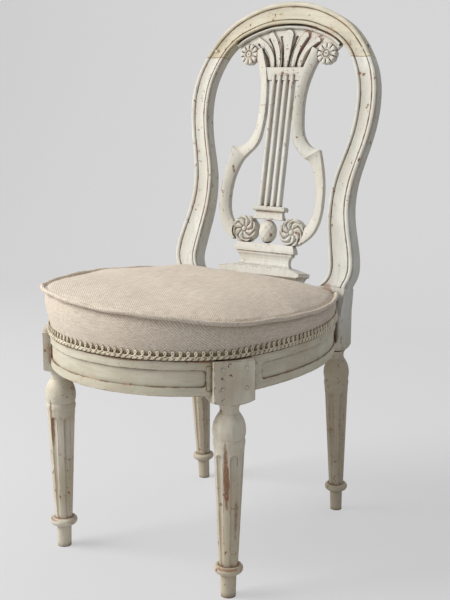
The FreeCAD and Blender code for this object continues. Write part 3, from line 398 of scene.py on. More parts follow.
def chairMark(x, y, z, wide, deep, high, share):
    spot = inChair(x, y, z)
    return (tuple(spot), (wide, deep, high), share)


def backMark(x, height, wide, high, share):
    spot = inBack(x, 0.006, height)
    return (tuple(spot), (wide, 0.03, high), share)


backMarks = [backMark(side * 0.1585, 0.470, 0.026, 0.0011, 0.95) for side in (-1, 1)]
backMarks += [backMark(0.148, 0.035, 0.014, 0.020, 0.50), backMark(0.121, 0.060, 0.003, 0.030, 0.60),
              backMark(-0.138, 0.040, 0.004, 0.040, 0.45)]
railMarks = [chairMark(0.170, -0.030, 0.3925, 0.070, 0.050, 0.0022, 0.75),
             chairMark(0.040, -0.098, 0.3925, 0.050, 0.020, 0.0020, 0.70),
             chairMark(-0.120, -0.070, 0.3925, 0.060, 0.040, 0.0016, 0.80)]
legMarks = [chairMark(0.181, -0.020, 0.200, 0.0045, 0.012, 0.055, 0.85),
            chairMark(0.192, -0.014, 0.130, 0.0040, 0.012, 0.045, 0.60),
            chairMark(-0.174, -0.020, 0.230, 0.0035, 0.012, 0.045, 0.75),
            chairMark(0.178, -0.020, 0.052, 0.020, 0.020, 0.0020, 0.75),
            chairMark(-0.185, -0.020, 0.052, 0.020, 0.020, 0.0020, 0.65)]

paint = makePaint("distemper_paint", paintLook, 1.2, (1.0, 1.0, 0.18), backMarks)
railPaint = makePaint("distemper_paint_rails", railLook, 1.6, (0.15, 0.15, 1.0), railMarks)
legPaint = makePaint("distemper_paint_legs", legLook, 1.7, (1.0, 1.0, 0.12), legMarks)
print("paint ready")


# Unpainted wood inside the seat frame

bareWoodLook = {"early": (0.36, 0.23, 0.12), "late": (0.24, 0.14, 0.07), "roughness": 0.75}


def makeBareWood(name, look):
    finish = Finish(name)
    place = finish.stretched(finish.place(), (1.0, 9.0, 9.0))
    grain = finish.noise(place, 22.0, 6.0, 0.6, 1.2)
    fine = finish.noise(place, 120.0, 3.0)
    tone = finish.blend(finish.between(grain, 0.35, 0.65), look["early"], look["late"])
    tone = finish.shaded(tone, 0.8 + fine * 0.4)
    finish.give(Base_Color=tone, Normal=finish.bumped(fine, 0.3, 0.0005))
    finish.shader.inputs["Roughness"].default_value = look["roughness"]
    return finish.material


def makeSteel(name):
    finish = Finish(name)
    rust = finish.noise(finish.place(), 300.0, 4.0)
    tone = finish.blend(finish.between(rust, 0.4, 0.62), (0.30, 0.29, 0.28), (0.16, 0.08, 0.04))
    finish.give(Base_Color=tone, Roughness=finish.between(rust, 0.3, 0.7, 0.35, 0.7))
    finish.shader.inputs["Metallic"].default_value = 0.9
    return finish.material


# Woven cloths

clothLook = {
    "linen": {"light": (0.770, 0.685, 0.585), "dark": (0.430, 0.345, 0.260), "pitch": 0.0030, "twill": 0.65,
              "bump": 0.0009, "sheen": 0.08},
    "hessian": {"light": (0.46, 0.36, 0.22), "dark": (0.20, 0.14, 0.08), "pitch": 0.0028, "twill": 0.0,
                "bump": 0.0008, "sheen": 0.0},
    "webbing": {"light": (0.50, 0.40, 0.25), "dark": (0.24, 0.17, 0.09), "pitch": 0.0024, "twill": 0.6,
                "bump": 0.0007, "sheen": 0.0},
}


def makeCloth(name, look):
    finish = Finish(name)
    place = finish.place()
    normal = finish.node("NewGeometry", take="Normal")
    flat = finish.between(finish.axis(normal, "Z").size(), 0.55, 0.75)
    facing = (finish.axis(normal, "X").size() > finish.axis(normal, "Y").size())
    x, y, z = (finish.axis(place, letter) for letter in "XYZ")
    around = y * facing + x * (1 - facing)
    warp = x * flat + around * (1 - flat)
    weft = y * flat + z * (1 - flat)
    turn = 2 * math.pi / look["pitch"]
    wobble = finish.noise(place, 60.0, 2.0) * 2.4
    twill = ((warp + weft) * (turn * 0.7) + wobble).sine()
    over = (warp * turn + wobble).sine()
    under = (weft * turn + wobble).sine()
    weave = twill * look["twill"] + (over * under) * (1 - look["twill"])
    slub = finish.noise(finish.stretched(place, (1, 14, 14)), 34.0, 3.0, 0.7)
    crossSlub = finish.noise(finish.stretched(place, (14, 1, 14)), 34.0, 3.0, 0.7)
    broad = finish.noise(place, 9.0, 2.0)
    shade = 0.5 + weave * 0.26 + (slub - 0.5) * 0.9 + (crossSlub - 0.5) * 0.9
    tone = finish.blend(finish.between(shade, 0.05, 0.85), look["dark"], look["light"])
    tone = finish.shaded(tone, 0.95 + broad * 0.10)
    finish.give(Base_Color=tone, Normal=finish.bumped(weave + slub * 1.5, 0.4, look["bump"]))
    finish.shader.inputs["Roughness"].default_value = 0.9
    finish.shader.inputs["Sheen Weight"].default_value = look["sheen"]
    finish.shader.inputs["Specular IOR Level"].default_value = 0.2
    return finish.material


def makeCord(name, light, dark):
    finish = Finish(name)
    place = finish.place()
    fine = finish.noise(place, 900.0, 3.0, 0.7)
    patch = finish.noise(place, 40.0, 2.0)
    tone = finish.blend(finish.between(fine * 0.5 + patch * 0.5, 0.38, 0.62), light, dark)
    finish.give(Base_Color=tone, Normal=finish.bumped(fine, 0.5, 0.0003))
    finish.shader.inputs["Roughness"].default_value = 0.7
    finish.shader.inputs["Sheen Weight"].default_value = 0.1
    return finish.material


linen = makeCloth("oatmeal_linen", clothLook["linen"])
hessianCloth = makeCloth("hessian_cloth", clothLook["hessian"])
webCloth = makeCloth("jute_webbing", clothLook["webbing"])
creamCord = makeCord("cream_gimp_cord", (0.80, 0.74, 0.62), (0.56, 0.48, 0.35))
# dark gold: the gimp's gold thread, also used as painted shade beside and behind the cream loops
goldCordAndShade = makeCord("dull_gold_gimp_cord_and_shade", (0.34, 0.26, 0.13), (0.17, 0.12, 0.06))
bareWood = makeBareWood("bare_birch", bareWoodLook)
steel = makeSteel("dull_steel")
print("materials ready")

for name, piece in nodes.items():
    if name.startswith(("corner_block_f", "corner_block_re")):
        choice = bareWood
    elif name in ("corner_block_screws", "webbing_tacks"):
        choice = steel
    elif name.startswith("front_leg"):
        choice = legPaint
    elif name.endswith("rail") or name.startswith(("side_rail", "corner_block")):
        choice = railPaint
    else:
        choice = paint
    piece.data.materials.clear()
    piece.data.materials.append(choice)


# Plan of the seat, the same arcs as the solid's

seatPlan = {
    "front": 0.100,
    "cornerX": 0.185,
    "cornerY": -0.008,
    "widestX": 0.221,
    "widestY": 0.172,
    "rearX": 0.150,
    "rearY": 0.387,
    "coverRear": 0.3625,
}


def radiusThrough(across, along):
    return (across ** 2 + along ** 2) / (2 * along)


def planLine(grow, rear, count):
    # from the left rear corner round the front to the right rear corner
    plan = seatPlan
    frontRadius = radiusThrough(plan["cornerX"], plan["cornerY"] + plan["front"])
    lowerRadius = radiusThrough(plan["widestY"] - plan["cornerY"], plan["widestX"] - plan["cornerX"])
    upperRadius = radiusThrough(plan["rearY"] - plan["widestY"], plan["widestX"] - plan["rearX"])
    frontMiddle = frontRadius - plan["front"]
    ys = np.linspace(rear, -plan["front"] - grow, 900)
    radius = np.where(ys < plan["widestY"], lowerRadius, upperRadius)
    reach = np.sqrt(np.maximum((radius + grow) ** 2 - (ys - plan["widestY"]) ** 2, 0))
    sideX = plan["widestX"] - radius + reach
    frontX = np.sqrt(np.maximum((frontRadius + grow) ** 2 - (ys - frontMiddle) ** 2, 0))
    xs = np.minimum(sideX, np.where(ys < plan["widestY"] * 0.6, frontX, sideX))
    half = np.stack([xs, ys], 1)
    whole = np.concatenate([half * (-1, 1), half[::-1][1:]])
    # soften the corners a little, then space the points evenly
    for _ in range(30):
        whole[1:-1] = (whole[:-2] + whole[1:-1] * 2 + whole[2:]) / 4
    steps = np.concatenate([[0], np.cumsum(np.linalg.norm(np.diff(whole, axis=0), axis=1))])
    along = np.linspace(0, steps[-1], count)
    evenly = [np.interp(along, steps, whole[:, axis]) for axis in (0, 1)]
    return np.stack(evenly, 1), steps[-1]


# The upholstered seat

cushion = {
    "foot": 0.3935,
    "bandFoot": 0.4105,
    "bulge": 0.0055,
    "inset": 0.0015,
    "weltFront": 0.468,
    "weltCorner": 0.4580,
    "weltSide": 0.4505,
    "weltRear": 0.439,
    "tilt": 0.054,
    "rearTilt": 0.034,
    "shift": -0.006,
    "top": 0.473,
    "crownPower": 4.0,
    "weltRadius": 0.0037,
    "around": 360,
    "fill": 0.85,
    "voxel": 0.005,
    "pressure": 4.0,
    "mostMove": 0.006,
}


def weltHeight(x, y):
    c, plan = cushion, seatPlan
    front = np.clip((y - plan["cornerY"]) / (-plan["front"] - plan["cornerY"]), 0, 1)
    side = np.clip((y - plan["cornerY"]) / (plan["widestY"] - plan["cornerY"]), 0, 1)
    rear = np.clip((y - plan["widestY"]) / (plan["coverRear"] - plan["widestY"]), 0, 1)
    height = c["weltCorner"] + (c["weltFront"] - c["weltCorner"]) * front
    height = height + (c["weltSide"] - c["weltCorner"]) * np.sin(side * math.pi / 2)
    height = height + (c["weltRear"] - c["weltSide"]) * rear
    return height - x * (c["tilt"] + (c["rearTilt"] - c["tilt"]) * rear)


def closedPlan(grow):
    line, _ = planLine(grow, seatPlan["coverRear"], cushion["around"] - 60)
    rear = np.linspace(line[-1], line[0], 62)[1:-1]
    return np.concatenate([line, rear])


def cushionRows():
    c = cushion
    middle = np.array([0.0, (seatPlan["coverRear"] - seatPlan["front"]) / 2])
    rows = []
    for level, swell in ((0, 0), (1, 0.15), (1.25, 0.7), (1.5, 0.95), (1.7, 0.9), (1.88, 0.55), (1.97, 0.15)):
        plan = closedPlan(c["bulge"] * swell - c["inset"])
        welt = weltHeight(plan[:, 0], plan[:, 1])
        share = max(level - 1, 0)
        height = c["foot"] + (c["bandFoot"] - c["foot"]) * min(level, 1) + (welt - c["bandFoot"]) * share
        rows.append(np.stack([plan[:, 0] + c["shift"] * share, plan[:, 1], height], 1))
    for share in (0.985, 0.96, 0.93, 0.89, 0.84, 0.77, 0.68, 0.57, 0.45, 0.32, 0.18, 0.06):
        plan = closedPlan(-c["inset"])
        welt = weltHeight(plan[:, 0], plan[:, 1])
        rise = 1 - share ** c["crownPower"]
        height = welt * (1 - rise) + c["top"] * rise + c["weltRadius"] * share ** 6
        spot = middle + (plan - middle) * share
        rows.append(np.stack([spot[:, 0] + c["shift"], spot[:, 1], height], 1))
    return np.array(rows)


def planted(rows):
    return rows + np.array([chairFrame["middleX"], chairFrame["frontLegLine"], 0])


def evaluatedMesh(piece):
    graph = bpy.context.evaluated_depsgraph_get()
    return bpy.data.meshes.new_from_object(piece.evaluated_get(graph), depsgraph=graph)


def coordinates(mesh):
    flat = np.empty(len(mesh.vertices) * 3)
    mesh.vertices.foreach_get("co", flat)
    return flat.reshape(-1, 3)


def puff(piece, seam):
    # cloth under pressure, held along its foot and its welt
    remesh = piece.modifiers.new("even", "REMESH")
    remesh.mode = "VOXEL"
    remesh.voxel_size = cushion["voxel"]
    remesh.use_smooth_shade = True
    mesh = evaluatedMesh(piece)
    piece.modifiers.clear()
    piece.data = mesh
    start = coordinates(mesh)
    held = piece.vertex_groups.new(name="held")
    low = start[:, 2] < cushion["bandFoot"] + 0.004
    apart = np.array([np.min(np.sum((seam - point) ** 2, axis=1)) for point in start]) ** 0.5
    near = apart < 0.006
    for index in np.nonzero(low | near)[0]:
        held.add([int(index)], 1.0, "REPLACE")
    cloth = piece.modifiers.new("puff", "CLOTH")
    cloth.settings.quality = 5
    cloth.settings.mass = 0.3
    cloth.settings.tension_stiffness = 15
    cloth.settings.compression_stiffness = 15
    cloth.settings.bending_stiffness = 0.5
    cloth.settings.use_pressure = True
    cloth.settings.uniform_pressure_force = cushion["pressure"]
    cloth.settings.vertex_group_mass = "held"
    cloth.settings.effector_weights.gravity = 0
    for number in range(1, 21):
        scene.frame_set(number)
    ended = coordinates(evaluatedMesh(piece))
    scene.frame_set(1)
    piece.modifiers.clear()
    move = ended - start
    length = np.linalg.norm(move, axis=1)
    move *= np.minimum(1, cushion["mostMove"] / np.maximum(length, 1e-9))[:, None]
    mesh.vertices.foreach_set("co", (start + move).ravel())
    return apart


gathers = {
    "reach": 0.045,
    "start": 0.004,
    "height": 0.0005,
    "slowHeight": 0.0011,
}


def pucker(piece, seam, seamLength):
    # short gathers where the cloth is drawn into the welt
    mesh = piece.data
    points = coordinates(mesh)
    normals = np.empty(len(points) * 3)
    mesh.vertices.foreach_get("normal", normals)
    normals = normals.reshape(-1, 3)
    away = np.empty(len(points))
    along = np.empty(len(points))
    for index, point in enumerate(points):
        gaps = np.sum((seam - point) ** 2, axis=1)
        nearest = int(np.argmin(gaps))
        away[index] = math.sqrt(gaps[nearest])
        along[index] = nearest / len(seam) * seamLength
    fade = smoothStep(away, gathers["reach"], gathers["start"]) * smoothStep(away, 0.002, 0.008)
    ripple = np.sin(along / 0.0031 + 1.7 * np.sin(along / 0.021)) * 0.5 + np.sin(along / 0.0073 + 2.0) * 0.5
    slow = np.sin(points[:, 0] * 31 + points[:, 1] * 17) * np.sin(points[:, 1] * 27 - points[:, 0] * 11 + 1.0)
    top = smoothStep(normals[:, 2], 0.4, 0.9)
    move = ripple * fade * gathers["height"] + slow * top * gathers["slowHeight"]
    points += normals * move[:, None]
    mesh.vertices.foreach_set("co", points.ravel())
    mesh.update()


def weltLine(grow, lift, count):
    plan, length = planLine(grow, seatPlan["coverRear"] - 0.002, count)
    height = weltHeight(plan[:, 0], plan[:, 1]) + lift
    line = np.stack([plan[:, 0] + cushion["shift"], plan[:, 1], height], 1)
    return planted(line), length


def makeCushion():
    rows = planted(cushionRows())
    columns = rows.shape[1]
    points = list(rows.reshape(-1, 3))
    faces = gridFaces(len(rows), columns, True)
    faces.append(tuple(range(columns)))
    faces.append(tuple(len(points) - columns + i for i in range(columns)))
    piece = makePiece("seat_cushion", points, faces, linen,
                      replaced=("seat_cover", "seat_stuffing"))
    seam, length = weltLine(-cushion["inset"], 0.001, 500)
    puff(piece, seam)
    smooth = piece.modifiers.new("smooth", "SUBSURF")
    smooth.levels = smooth.render_levels = 1
    mesh = evaluatedMesh(piece)
    piece.modifiers.clear()
    piece.data = mesh
    pucker(piece, seam, length)
    mesh.materials.clear()
    mesh.materials.append(linen)
    piece.data.polygons.foreach_set("use_smooth", [True] * len(piece.data.polygons))
    return piece


makeCushion()
print("cushion ready")


# Piping round the seat: a covered cord, sewn in along the welt

piping = {"radius": 0.0037, "out": 0.0045, "count": 420, "corners": 12, "stitch": 0.0042}


def makePiping():
    grow = cushion["bulge"] * 0.6 - cushion["inset"] + piping["out"]
    line, length = weltLine(grow, 0.0006, piping["count"])
    along = np.linspace(0, length, len(line))
    line[:, 2] += 0.0009 * np.sin(along / 0.035) + 0.0005 * np.sin(along / 0.013 + 1.0)
    radius = piping["radius"] * (1 + 0.04 * np.sin(along / 0.009) + 0.03 * np.sin(along / 0.0033))
    ends = np.minimum(along, length - along)
    radius = radius * (0.55 + 0.45 * smoothStep(ends, 0, 0.004))
    points, faces = tube(line, radius, piping["corners"])
    # the seam allowance that the piping is sewn in with
    lip, _ = weltLine(grow - 0.006, -0.0004, piping["count"])
    flap = [tuple(p) for pair in zip(line, lip) for p in pair]
    flap = flap + [(x, y, z - 0.0012) for x, y, z in flap]
    count = len(line) * 2
    strips = []
    for i in range(len(line) - 1):
        strips.append((2 * i, 2 * i + 1, 2 * i + 3, 2 * i + 2))
        strips.append((count + 2 * i, count + 2 * i + 1, count + 2 * i + 3, count + 2 * i + 2))
    points, faces = joinParts([(points, faces), (flap, strips)])
    return makePiece("seat_piping", points, faces, linen, replaced=("seat_welt",))


makePiping()


# Scroll gimp: a looped cream cord and two thin gold ones over a narrow tape, with a corded foot. The gold
# cords trail the loops both as gold thread and as their painted shadow, and the tape's dark gold is painted
# shade between the loops

gimp = {
    "pitch": 0.0116,
    "foot": 0.3955,
    "cordRadius": 0.0017,
    "loopRadius": 0.00115,
    "loopHeight": 0.0088,
    "tapeHeight": 0.0095,
    "perLoop": 24,
    "sway": 0.0041,
    "out": 0.0019,
}


def alongPlan(grow, distances):
    plan, length = planLine(grow, seatPlan["coverRear"] - 0.004, 2400)
    steps = np.concatenate([[0], np.cumsum(np.linalg.norm(np.diff(plan, axis=0), axis=1))])
    x = np.interp(distances, steps, plan[:, 0])
    y = np.interp(distances, steps, plan[:, 1])
    ahead = np.stack([np.gradient(plan[:, 0]), np.gradient(plan[:, 1])], 1)
    ahead /= np.linalg.norm(ahead, axis=1)[:, None]
    tangentX = np.interp(distances, steps, ahead[:, 0])
    tangentY = np.interp(distances, steps, ahead[:, 1])
    return x, y, tangentY, -tangentX, length


def makeGimp():
    g = gimp
    grow = -cushion["inset"] + 0.0016
    length = alongPlan(grow, np.array([0.0]))[-1]
    loops = int(length / g["pitch"])
    cream, goldAndShade = [], []
    turn = np.linspace(0, loops, loops * g["perLoop"])
    # the two gold strands lag the cream loop: gold thread, and also a painted shadow beside each loop
    for lag, rise, lift, radius, place in ((0.0, 0.0, 0.0, g["loopRadius"], cream),
                                           (0.10, 0.0012, 0.0009, 0.0008, goldAndShade),
                                           (0.62, -0.0030, 0.0006, 0.0008, goldAndShade)):
        angle = (turn + lag) * 2 * math.pi
        distance = (turn + 0.5) / (loops + 1) * length + g["sway"] * np.sin(angle)
        height = g["foot"] + 0.0038 + (g["loopHeight"] + rise) * (0.5 - 0.5 * np.cos(angle))
        x, y, outX, outY, _ = alongPlan(grow, np.clip(distance, 0.001, length - 0.001))
        out = g["out"] + 0.0006 * np.sin(angle + 0.8) - lift
        line = np.stack([x + outX * out, y + outY * out, height], 1)
        place.append(tube(planted(line), radius, 6))
    count = loops * 12
    distance = np.linspace(0.001, length - 0.001, count)
    x, y, outX, outY, _ = alongPlan(grow, distance)
    for strand in range(3):
        angle = distance / (g["pitch"] * 0.8) * 2 * math.pi + strand * 2 * math.pi / 3
        out = g["out"] + 0.0004 + np.cos(angle) * g["cordRadius"] * 0.75
        height = g["foot"] + 0.0016 + np.sin(angle) * g["cordRadius"] * 0.75
        line = np.stack([x + outX * out, y + outY * out, height], 1)
        (goldAndShade if strand == 2 else cream).append(tube(planted(line), g["cordRadius"] * 0.72, 6))
    # the tape, in the dark gold cord colour, is painted shade behind and between the loops
    tape = []
    for out, height in ((-0.001, 0), (0.0006, 0), (0.0006, g["tapeHeight"]), (-0.001, g["tapeHeight"])):
        level = np.full(count, g["foot"] + height)
        tape.append(planted(np.stack([x + outX * out, y + outY * out, level], 1)))
    tape = np.stack(tape, 1)
    tapePoints = tape.reshape(-1, 3)
    tapeFaces = gridFaces(count, 4, True)
    goldAndShade.append((tapePoints, tapeFaces))
    points, faces = joinParts(cream)
    makePiece("gimp_cream_cords", points, faces, creamCord, replaced=("seat_gimp",))
    points, faces = joinParts(goldAndShade)
    makePiece("gimp_gold_cords_and_shade", points, faces, goldCordAndShade)
    print("gimp ready with", loops, "loops")


makeGimp()


# Carved discs, worked as a relief over rings of points

daisy = {
    "petals": 10,
    "radius": 0.0195,
    "x": 0.084,
    "height": 0.477,
    "front": 0.0098,
    "back": 0.0242,
    "relief": 0.0038,
}

whorl = {
    "leaves": 8,
    "radius": 0.0260,
    "x": 0.052,
    "height": 0.1417,
    "front": 0.0070,
    "back": 0.0272,
    "relief": 0.0052,
    "sweep": 1.5,
}


def discPoint(spec, side, turn, reach, depth):
    across = side * spec["x"] + side * reach * math.cos(turn)
    return inBack(across, depth, spec["height"] + reach * math.sin(turn))


def reliefDisc(spec, side, outline, depthAt, edgeRings=5):
    # rings from the middle to the rim, then down the edge to the back
    rings, columns = 46, 260
    turns = np.arange(columns) * 2 * math.pi / columns
    points = []
    for ring in range(1, rings + 1):
        share = ring / rings
        radius = spec["radius"] * outline(turns, share) * share
        depth = spec["front"] + depthAt(turns, share)
        for turn, r, d in zip(turns, radius, depth):
            points.append(discPoint(spec, side, turn, r, d))
    rimDepth = spec["front"] + depthAt(turns, 1.0)
    rim = spec["radius"] * outline(turns, 1.0)
    for step in range(1, edgeRings + 1):
        share = step / edgeRings
        ease = 1 + 0.02 * math.sin(share * math.pi)
        for turn, r, d in zip(turns, rim * ease, rimDepth):
            depth = d + (spec["back"] - d) * share
            points.append(discPoint(spec, side, turn, r, depth))
    faces = gridFaces(rings + edgeRings, columns, True)
    faces.append(tuple(range(columns)))
    faces.append(tuple(len(points) - columns + i for i in range(columns)))
    return points, faces


def daisyOutline(turns, share):
    notch = np.abs(np.cos(turns * daisy["petals"] / 2)) ** 0.35
    return 1 - 0.13 * share ** 4 * (1 - notch)


def daisyDepth(turns, share):
    petal = np.abs(np.cos(turns * daisy["petals"] / 2))
    ring = math.exp(-((share - 0.44) / 0.07) ** 2)
    boss = math.sqrt(max(0.0, 1 - (share / 0.30) ** 2))
    dimple = math.exp(-(share / 0.09) ** 2)
    field = smoothStep(share, 0.46, 0.62) * (1 - smoothStep(share, 0.88, 1.0) * 0.7)
    pit = (petal < 0.34) * math.exp(-((share - 0.80) / 0.12) ** 2)
    height = 0.25 + field * (petal ** 0.5) * 0.60 - pit * 0.75 + ring * 0.60 + boss * 0.80 - dimple * 0.6
    return daisy["relief"] * (1 - height)


def whorlOutline(turns, share):
    swept = turns + share * whorl["sweep"]
    return 1 - 0.06 * share ** 3 * (1 - np.abs(np.sin(swept * whorl["leaves"] / 2)) ** 0.4)


def whorlDepth(turns, share):
    # broad leaves that bend twice between the boss and the rim, with drilled eyes
    swept = turns + share * whorl["sweep"] + 0.16 * math.sin(share * 7)
    saw = (swept * whorl["leaves"] / (2 * math.pi)) % 1.0
    leaf = np.sin(np.clip(saw / 0.90, 0, 1) * math.pi) ** 0.45
    vein = 0.10 * np.cos(saw * math.pi * 4) * smoothStep(share, 0.35, 0.6)
    eye = np.exp(-(((saw - 0.04) % 1.0) / 0.10) ** 2) * math.exp(-((share - 0.72) / 0.09) ** 2)
    boss = math.sqrt(max(0.0, 1 - (share / 0.20) ** 2))
    collar = math.exp(-((share - 0.28) / 0.05) ** 2)
    dome = 1 - 0.30 * smoothStep(share, 0.75, 1.0)
    field = smoothStep(share, 0.22, 0.40)
    height = dome * (0.25 + field * (leaf * 0.62 + vein)) - eye * 0.6 + boss * 0.60 + collar * 0.22
    return whorl["relief"] * (0.95 - height)


for side, word in ((1, "right"), (-1, "left")):
    points, faces = reliefDisc(daisy, side, daisyOutline, daisyDepth)
    makePiece("daisy_rosette_" + word, points, faces, paint,
              replaced=("upper_rosette_" + word,))
    points, faces = reliefDisc(whorl, side, whorlOutline, whorlDepth)
    makePiece("whorl_rosette_" + word, points, faces, paint,
              replaced=("lower_rosette_" + word,))
print("rosettes ready")


# Cut ball between the whorls, all small flat faces

ball = {
    "wide": 0.0370,
    "high": 0.0450,
    "deep": 0.0280,
    "middle": 0.0130,            # depth of its centre behind the frame's front
    "height": 0.13975,
    "rows": 9,
    "faces": 10,
}


def makeBall():
    b = ball
    points = []
    for row in range(b["rows"]):
        level = (row + 0.5) / b["rows"] * math.pi
        for column in range(b["faces"]):
            turn = (column + 0.5 * (row % 2)) / b["faces"] * 2 * math.pi
            x = b["wide"] / 2 * math.sin(level) * math.cos(turn)
            depth = b["middle"] + b["deep"] / 2 * math.sin(level) * math.sin(turn)
            points.append(inBack(x, depth, b["height"] - b["high"] / 2 * math.cos(level)))
    faces = []
    for row in range(b["rows"] - 1):
        for column in range(b["faces"]):
            after = (column + 1) % b["faces"]
            low, high = row * b["faces"], (row + 1) * b["faces"]
            if row % 2:
                faces.append((low + column, low + after, high + after))
                faces.append((low + column, high + after, high + column))
            else:
                faces.append((low + column, low + after, high + column))
                faces.append((low + after, high + after, high + column))
    faces.append(tuple(range(b["faces"])))
    faces.append(tuple(len(points) - b["faces"] + i for i in range(b["faces"])))
    makePiece("cut_ball", points, faces, paint, smooth=False, replaced=("lyre_ball",))


makeBall()


# Carved fingers of the crown, laid over the plain lobes

fingers = {
    # foot, tip across and up, half widths at foot, middle, shoulder and tip
    "leaves": ((0.0000, 0.0000, 0.5225, (0.0042, 0.0068, 0.0095, 0.0105)),
               (0.0135, 0.0395, 0.5170, (0.0052, 0.0062, 0.0070, 0.0068)),
               (0.0290, 0.0670, 0.5060, (0.0052, 0.0066, 0.0062, 0.0060))),
    "stations": (0.0, 0.5, 0.8, 1.0),
    "footHeight": 0.451,
    "bend": (0.25, 0.55),
    "sink": 0.0025,              # how much deeper a leaf lies at its tip than at its foot
    "front": 0.0100,
    "back": 0.0158,
    "rows": 60,
    "columns": 25,
}


def fingerRelief(leaf, side):
    # a bent leaf with raised rims and a dished middle, ending in a round bud
    f = fingers
    foot, tipAcross, tipUp, halves = leaf
    tipRadius = halves[-1]
    start = np.array([foot, f["footHeight"]])
    end = np.array([tipAcross, tipUp - (0 if foot else tipRadius)])
    bend = start + (end - start) * np.array(f["bend"])
    pull = 2 * bend - (start + end) / 2
    outward = (end - pull) / np.linalg.norm(end - pull)
    length = np.linalg.norm(end - start)
    points = []
    for row in range(f["rows"]):
        share = row / (f["rows"] - 1) * (1 + tipRadius / length * 0.985)
        if share <= 1:
            middle = (1 - share) ** 2 * start + 2 * share * (1 - share) * pull + share ** 2 * end
            ahead = 2 * (1 - share) * (pull - start) + 2 * share * (end - pull)
            ahead = ahead / np.linalg.norm(ahead)
            half = np.interp(share, f["stations"], halves)
        else:
            beyond = (share - 1) * length
            middle = end + outward * beyond
            ahead = outward
            half = math.sqrt(max(tipRadius ** 2 - beyond ** 2, 1e-9))
        across = np.array([ahead[1], -ahead[0]])
        for column in range(f["columns"]):
            place = column / (f["columns"] - 1) * 2 - 1
            spot = middle + across * place * half
            rim = math.exp(-((abs(place) - 0.76) / 0.16) ** 2)
            bud = smoothStep(share, 0.90, 1.0) * (1 - place * place)
            edge = 1 - abs(place) ** 8
            ease = 1 - smoothStep(share, 1.0, 1.0 + tipRadius / length) * 0.5
            lift = (0.62 + 0.38 * rim + 0.12 * bud) * edge * ease
            depth = f["back"] + (f["front"] - f["back"]) * min(lift, 1.0) + f["sink"] * share
            points.append(inBack(side * spot[0], depth, spot[1]))
    return points, gridFaces(f["rows"], f["columns"], False)


def makeCrownCarving():
    parts = []
    for leaf in fingers["leaves"]:
        parts.append(fingerRelief(leaf, 1))
        if leaf[0]:
            parts.append(fingerRelief(leaf, -1))
    points, faces = joinParts(parts)
    makePiece("crown_fingers", points, faces, paint)


makeCrownCarving()


# Raised band that follows the inner edge of the crest over the crown

crestBand = {
    "edge": ((0.1130, 0.4965), (0.1000, 0.5070), (0.0740, 0.5190), (0.0390, 0.5295), (0.0000, 0.5325)),
    "inset": 0.0004,
    "width": 0.0080,
    "front": 0.0085,
    "back": 0.0150,
}


def makeCrestBand():
    b = crestBand
    half = np.array(b["edge"])
    line = np.concatenate([half, (half * (-1, 1))[::-1][1:]])
    steps = np.concatenate([[0], np.cumsum(np.linalg.norm(np.diff(line, axis=0), axis=1))])
    fine = np.linspace(0, steps[-1], 140)
    path = np.stack([np.interp(fine, steps, line[:, 0]), np.interp(fine, steps, line[:, 1])], 1)
    for _ in range(25):
        path[1:-1] = (path[:-2] + path[1:-1] * 2 + path[2:]) / 4
    ahead = np.gradient(path, axis=0)
    ahead /= np.linalg.norm(ahead, axis=1)[:, None]
    inward = np.stack([-ahead[:, 1], ahead[:, 0]], 1)
    if inward[70][1] > 0:
        inward = -inward
    points = []
    for spot, way in zip(path, inward):
        for place in np.linspace(0, 1, 9):
            arch = math.sin(place * math.pi) ** 0.6
            across = spot + way * (b["inset"] + b["width"] * place)
            points.append(inBack(across[0], b["back"] + (b["front"] - b["back"]) * arch, across[1]))
    faces = gridFaces(len(path), 9, False)
    makePiece("crest_inner_band", points, faces, paint)


makeCrestBand()
print("crown ready")


# Webbing and hessian under the seat

webs = {
    "width": 0.050,
    "thick": 0.0016,
    "lengthwise": (-0.099, -0.033, 0.033, 0.099),
    "crosswise": (0.020, 0.092, 0.164, 0.236, 0.308),
    "weave": 0.0011,
    "lift": 0.0010,
    "fade": 0.02,
    "base": 0.3941,
}


def planReach(x):
    # front and rear ends of a lengthwise web
    plan, _ = planLine(-0.012, 0.359, 1200)
    front = plan[plan[:, 1] < 0.05]
    return float(np.interp(x, front[:, 0], front[:, 1])), 0.359


def planHalf(y):
    plan, _ = planLine(-0.012, 0.359, 1200)
    right = plan[plan[:, 0] > 0]
    order = np.argsort(right[:, 1])
    return float(np.interp(y, right[order, 1], right[order, 0]))


def webStrap(name, start, end, lengthwise, crossings, firstUp):
    length = end - start
    rows = 90
    points = []
    for row in range(rows):
        along = start + length * row / (rows - 1)
        wave = 0.0
        for number, crossing in enumerate(crossings):
            sign = 1 if (number + firstUp) % 2 else -1
            wave += sign * math.exp(-((along - crossing[0]) / 0.026) ** 4)
        rest = webs["base"] + webs["thick"] * 0.5
        height = rest + webs["lift"] + wave * webs["weave"] * 0.9
        fade = min(1.0, (along - start) / webs["fade"], (end - along) / webs["fade"])
        height = rest + (height - rest) * max(fade, 0)
        for across in (-1, -0.96, 0, 0.96, 1):
            for face in (-1, 1):
                thick = webs["thick"] / 2 * (0.6 if abs(across) == 1 else 1)
                spot = crossings[0][1] + across * webs["width"] / 2
                x, y = (spot, along) if lengthwise else (along, spot)
                points.append(inChair(x, y, height + face * thick))
    columns = 10
    ring = [0, 2, 4, 6, 8, 9, 7, 5, 3, 1]
    faces = []
    for row in range(rows - 1):
        for i in range(columns):
            a, b = ring[i], ring[(i + 1) % columns]
            low, high = row * columns, (row + 1) * columns
            faces.append((low + a, low + b, high + b, high + a))
    faces.append(tuple(ring))
    faces.append(tuple((rows - 1) * columns + i for i in ring))
    strap = makePiece(name, points, faces, webCloth)
    return strap


